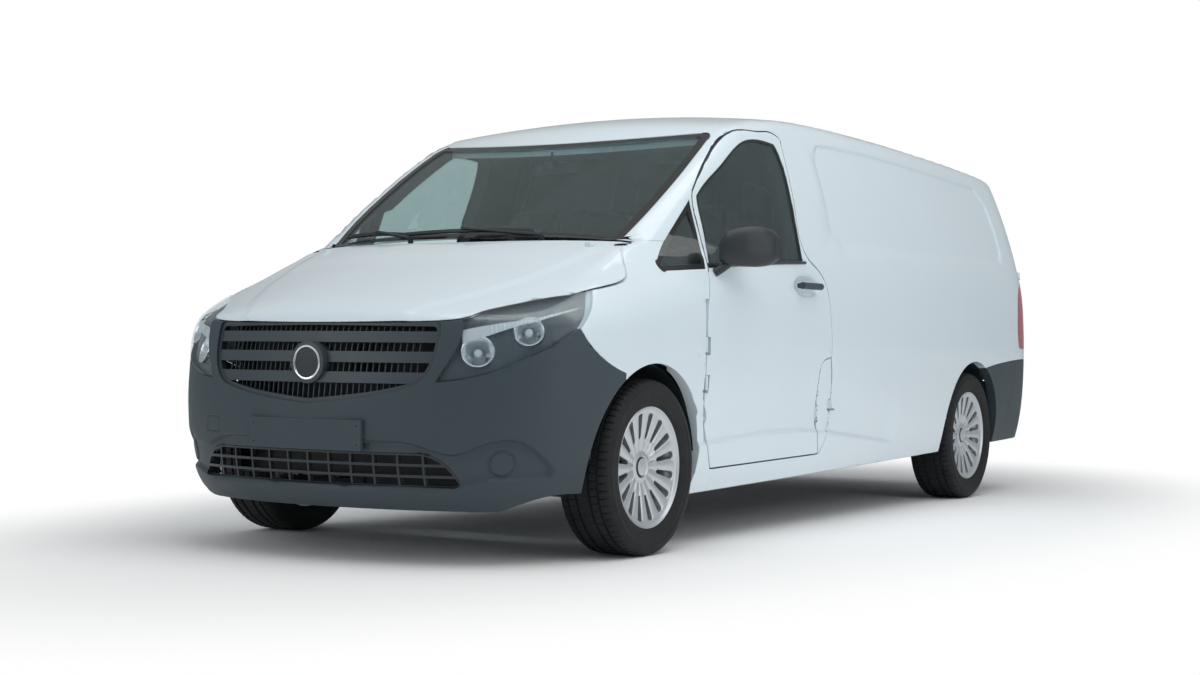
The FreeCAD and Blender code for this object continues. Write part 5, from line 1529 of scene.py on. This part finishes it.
class VAN_OT_cabin(bpy.types.Operator):
    """Makes the padded seats with their headrests"""

    bl_idname = "van.cabin"
    bl_label = "Seats"

    def execute(self, context):
        low, high = node_box("seats")
        back_x, front_x = low[0], high[0]
        foot, top = low[2], high[2]
        seat_top = foot + 0.40 * (top - foot)
        for name, y0, y1, places in SEAT_PLACES:
            width = (y1 - y0) / places
            frame_form = Form()
            frame_form.block((back_x + 90, y0 + 40, foot), (front_x - 60, y1 - 40, seat_top - 120), 0, 10)
            frame_form.done(name + "_frame", [FINISH["black_plastic"]], "van_body", 35.0)
            soft = Form()
            for k in range(places):
                a, b = y0 + k * width + 6, y0 + (k + 1) * width - 6
                cushion(soft, (back_x + 60, a, seat_top - 140), (front_x - 4, b, seat_top), 0.10,
                        (-0.52, 0.52))
                start = len(soft.points)
                cushion(soft, (back_x + 96, a + 8, seat_top - 60), (back_x + 226, b - 8, top - 190),
                        0.12, (-0.55, 0.55))
                mid = (a + b) / 2
                cushion(soft, (back_x + 120, mid - 125, top - 190), (back_x + 210, mid + 125, top - 12),
                        0.05, ())
                leant(soft, start, (back_x + 200, seat_top - 60), -9.0)
            seat = soft.done(name, [FINISH["seat_cloth"]], "van_body", 60.0)
            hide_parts("seats")
        return {"FINISHED"}


MARKER = (1459.0, 963.0, 765.0)
WINDOW_SEAL = ((1318.0, 920.0, 1119.0), (464.0, 944.0, 1163.0))
HEADLINER_DEPTH = 44.0
HEADLINER_RUN = (215.0, 880.0)
MARKER_PROFILE = [(15.0, -3.0), (15.0, 1.5), (13.5, 3.0), (8.0, 3.6), (0.01, 3.8)]
SENSOR_HOUSING = ((1010.0, -195.0, 1612.0), (1120.0, -43.0, 1672.0))
MIRROR_STEM = ((1020.0, -8.0, 1560.0), (1052.0, 8.0, 1640.0))
ROOM_MIRROR = ((1010.0, -118.0, 1535.0), (1026.0, 118.0, 1595.0))


class VAN_OT_trims(bpy.types.Operator):
    """Adds the marker discs, the window seals, the headliner and the room mirror"""

    bl_idname = "van.trims"
    bl_label = "Small trim"

    def execute(self, context):
        form = Form()
        for side in (1, -1):
            spot, out = set_in((MARKER[0], MARKER[1] * side, MARKER[2]), 0.0)
            form.turned(MARKER_PROFILE, spot, out, 40, 0)
        form.done("wing_markers", [FINISH["body_paint"]], "van_body", 30.0)
        for side, name in ((1, "left"), (-1, "right")):
            a, b = (np.array(p) * (1, side, 1) for p in WINDOW_SEAL)
            run = [set_in(a + (b - a) * t, -1.0)[0] for t in np.linspace(0, 1, 24)]
            seal = Form()
            seal.tube(run, 6.5, 12, 0)
            seal.done("window_seal_" + name, [FINISH["black_plastic"]], "door_%s_body" % name, 40.0)
        roof = Form()
        roof.grid([[set_in((x, y, 1900.0), HEADLINER_DEPTH)[0] for y in np.linspace(-560, 560, 29)]
                   for x in np.linspace(*HEADLINER_RUN, 18)], 0)
        roof.done("headliner", [FINISH["headliner"]], "van_body", 40.0)
        inner = Form()
        inner.block(*ROOM_MIRROR, 0, 6)
        inner.block(*MIRROR_STEM, 0, 4)
        inner.done("room_mirror", [FINISH["trim"]], "van_body", 35.0)
        return {"FINISHED"}


class VAN_OT_stage(bpy.types.Operator):
    """Lays the floor, sets the camera and lights the van evenly"""

    bl_idname = "van.stage"
    bl_label = "Floor, light and camera"

    def execute(self, context):
        stage = context.scene.van_stage
        make_floor()
        make_camera(stage)
        make_light(stage)
        return {"FINISHED"}


def make_floor():
    """Round pale floor that fades to the backdrop's white beyond the van."""
    rings = [0.0, 2.0, 4.0, 6.0, 9.0, 14.0, 25.0, 60.0]
    count = 64
    points = [(0.0, 0.0, 0.0)]
    faces = []
    for k, radius in enumerate(rings[1:]):
        start = len(points)
        for i in range(count):
            angle = 2 * math.pi * i / count
            points.append((radius * math.cos(angle), radius * math.sin(angle), 0.0))
            j = (i + 1) % count
            if k == 0:
                faces.append((0, start + i, start + j))
            else:
                faces.append((start - count + i, start + i, start + j, start - count + j))
    mesh = bpy.data.meshes.new("floor")
    mesh.from_pydata(points, [], faces)
    floor = bpy.data.objects.new("floor", mesh)
    bpy.context.scene.collection.objects.link(floor)
    mat, tree, bsdf, out = finish("painted_studio_floor", linear("FFFFFF"), 0.85)
    where = add(tree, "ShaderNodeNewGeometry")
    flat = add(tree, "ShaderNodeVectorMath", {"operation": "MULTIPLY"}, {
        0: where.outputs["Position"], 1: (0.78, 1.5, 0.0)})
    far = add(tree, "ShaderNodeVectorMath", {"operation": "LENGTH"}, {0: flat.outputs[0]})
    fade = add(tree, "ShaderNodeMapRange", {"interpolation_type": "SMOOTHSTEP"}, {
        "Value": far.outputs["Value"], "From Min": 2.5, "From Max": 4.1})
    white = add(tree, "ShaderNodeEmission", None, {"Color": linear("FFFFFF"), "Strength": 1.0})
    path = add(tree, "ShaderNodeLightPath")
    seen = add(tree, "ShaderNodeMath", {"operation": "ADD", "use_clamp": True}, {
        0: path.outputs["Is Camera Ray"], 1: path.outputs["Is Transmission Ray"]})
    share = add(tree, "ShaderNodeMath", {"operation": "MULTIPLY"}, {
        0: fade.outputs[0], 1: seen.outputs[0]})
    mixed = add(tree, "ShaderNodeMixShader", None, {
        "Fac": share.outputs[0], 1: bsdf.outputs[0], 2: white.outputs[0]})
    tree.links.new(mixed.outputs[0], out.inputs["Surface"])
    floor.data.materials.append(mat)


def make_camera(stage):
    yaw, pitch, roll = stage.camera_yaw, stage.camera_pitch, stage.camera_roll
    ahead = Vector((math.cos(yaw) * math.cos(pitch), math.sin(yaw) * math.cos(pitch),
                    -math.sin(pitch)))
    right = Vector((math.sin(yaw), -math.cos(yaw), 0.0))
    up = right.cross(ahead)
    right, up = (math.cos(roll) * right + math.sin(roll) * up,
                 math.cos(roll) * up - math.sin(roll) * right)
    camera = bpy.data.objects.new("camera", bpy.data.cameras.new("camera"))
    camera.data.lens = stage.lens
    camera.data.sensor_width = 36.0
    camera.data.clip_end = 200.0
    turn = Matrix((right, up, -ahead)).transposed().to_4x4()
    camera.matrix_world = Matrix.Translation((stage.camera_x, stage.camera_y, stage.camera_z)) @ turn
    bpy.context.scene.collection.objects.link(camera)
    bpy.context.scene.camera = camera


def make_light(stage):
    world = bpy.data.worlds.new("studio")
    bpy.context.scene.world = world
    world.use_nodes = True
    tree = world.node_tree
    tree.nodes.clear()
    where = add(tree, "ShaderNodeTexCoord")
    split = add(tree, "ShaderNodeSeparateXYZ", None, {0: where.outputs["Generated"]})
    ramp = add(tree, "ShaderNodeValToRGB", None, {"Fac": split.outputs["Z"]})
    ramp.color_ramp.elements[0].position = 0.0
    ramp.color_ramp.elements[0].color = linear("C9D2D8")
    ramp.color_ramp.elements[1].position = 0.55
    ramp.color_ramp.elements[1].color = linear("F7FAFB")
    even = add(tree, "ShaderNodeBackground", None, {"Color": ramp.outputs[0], "Strength": stage.sky})
    white = add(tree, "ShaderNodeBackground", None, {"Color": linear("FFFFFF"), "Strength": 1.0})
    path = add(tree, "ShaderNodeLightPath")
    seen = add(tree, "ShaderNodeMath", {"operation": "ADD", "use_clamp": True}, {
        0: path.outputs["Is Camera Ray"], 1: path.outputs["Is Transmission Ray"]})
    mixed = add(tree, "ShaderNodeMixShader", None, {
        "Fac": seen.outputs[0], 1: even.outputs[0], 2: white.outputs[0]})
    add(tree, "ShaderNodeOutputWorld", None, {"Surface": mixed.outputs[0]})
    boxes = [("softbox_above", (1.5, 2.0, 5.5), (0.0, 0.0, 0.6), 6.0, 1.0),
             ("softbox_front", (8.0, -3.5, 3.0), (2.0, 0.0, 0.7), 3.5, 0.35),
             ("softbox_side", (1.0, 8.0, 2.6), (-0.5, 0.0, 0.9), 4.5, 0.45)]
    for name, spot, aim, size, share in boxes:
        lamp = bpy.data.lights.new(name, "AREA")
        lamp.shape = "SQUARE"
        lamp.size = size
        lamp.energy = stage.softbox * share
        piece = bpy.data.objects.new(name, lamp)
        piece.location = spot
        piece.rotation_euler = (Vector(aim) - Vector(spot)).to_track_quat("-Z", "Y").to_euler()
        bpy.context.scene.collection.objects.link(piece)
    bpy.context.scene.view_settings.view_transform = "Standard"


class VAN_OT_finishes(bpy.types.Operator):
    """Makes every finish and gives it to the construction's own pieces"""

    bl_idname = "van.finishes"
    bl_label = "Finishes"

    def execute(self, context):
        make_finishes(context.scene.van_look)
        return {"FINISHED"}


class VAN_PT_panel(bpy.types.Panel):
    bl_label = "Panel van"
    bl_idname = "VAN_PT_panel"
    bl_space_type = "VIEW_3D"
    bl_region_type = "UI"
    bl_category = "Panel van"

    def draw(self, context):
        layout = self.layout
        for group in (context.scene.van_look, context.scene.van_stage):
            box = layout.box()
            for name in group.bl_rna.properties.keys():
                if name not in ("rna_type", "name"):
                    box.prop(group, name)
        for operator in OPERATORS:
            layout.operator(operator.bl_idname)


OPERATORS = [VAN_OT_finishes, VAN_OT_panels, VAN_OT_bumpers, VAN_OT_wheels, VAN_OT_mirrors,
             VAN_OT_lamps, VAN_OT_glazing, VAN_OT_front, VAN_OT_cabin, VAN_OT_trims,
             VAN_OT_stage]
CLASSES = [VanLook, VanStage, *OPERATORS, VAN_PT_panel]


def register():
    for cls in CLASSES:
        bpy.utils.register_class(cls)
    bpy.types.Scene.van_look = bpy.props.PointerProperty(type=VanLook)
    bpy.types.Scene.van_stage = bpy.props.PointerProperty(type=VanStage)


def unregister():
    del bpy.types.Scene.van_look
    del bpy.types.Scene.van_stage
    for cls in reversed(CLASSES):
        bpy.utils.unregister_class(cls)


def main():
    register()
    for operator in OPERATORS:
        group, name = operator.bl_idname.split(".")
        getattr(getattr(bpy.ops, group), name)()


if __name__ == "__main__":
    main()
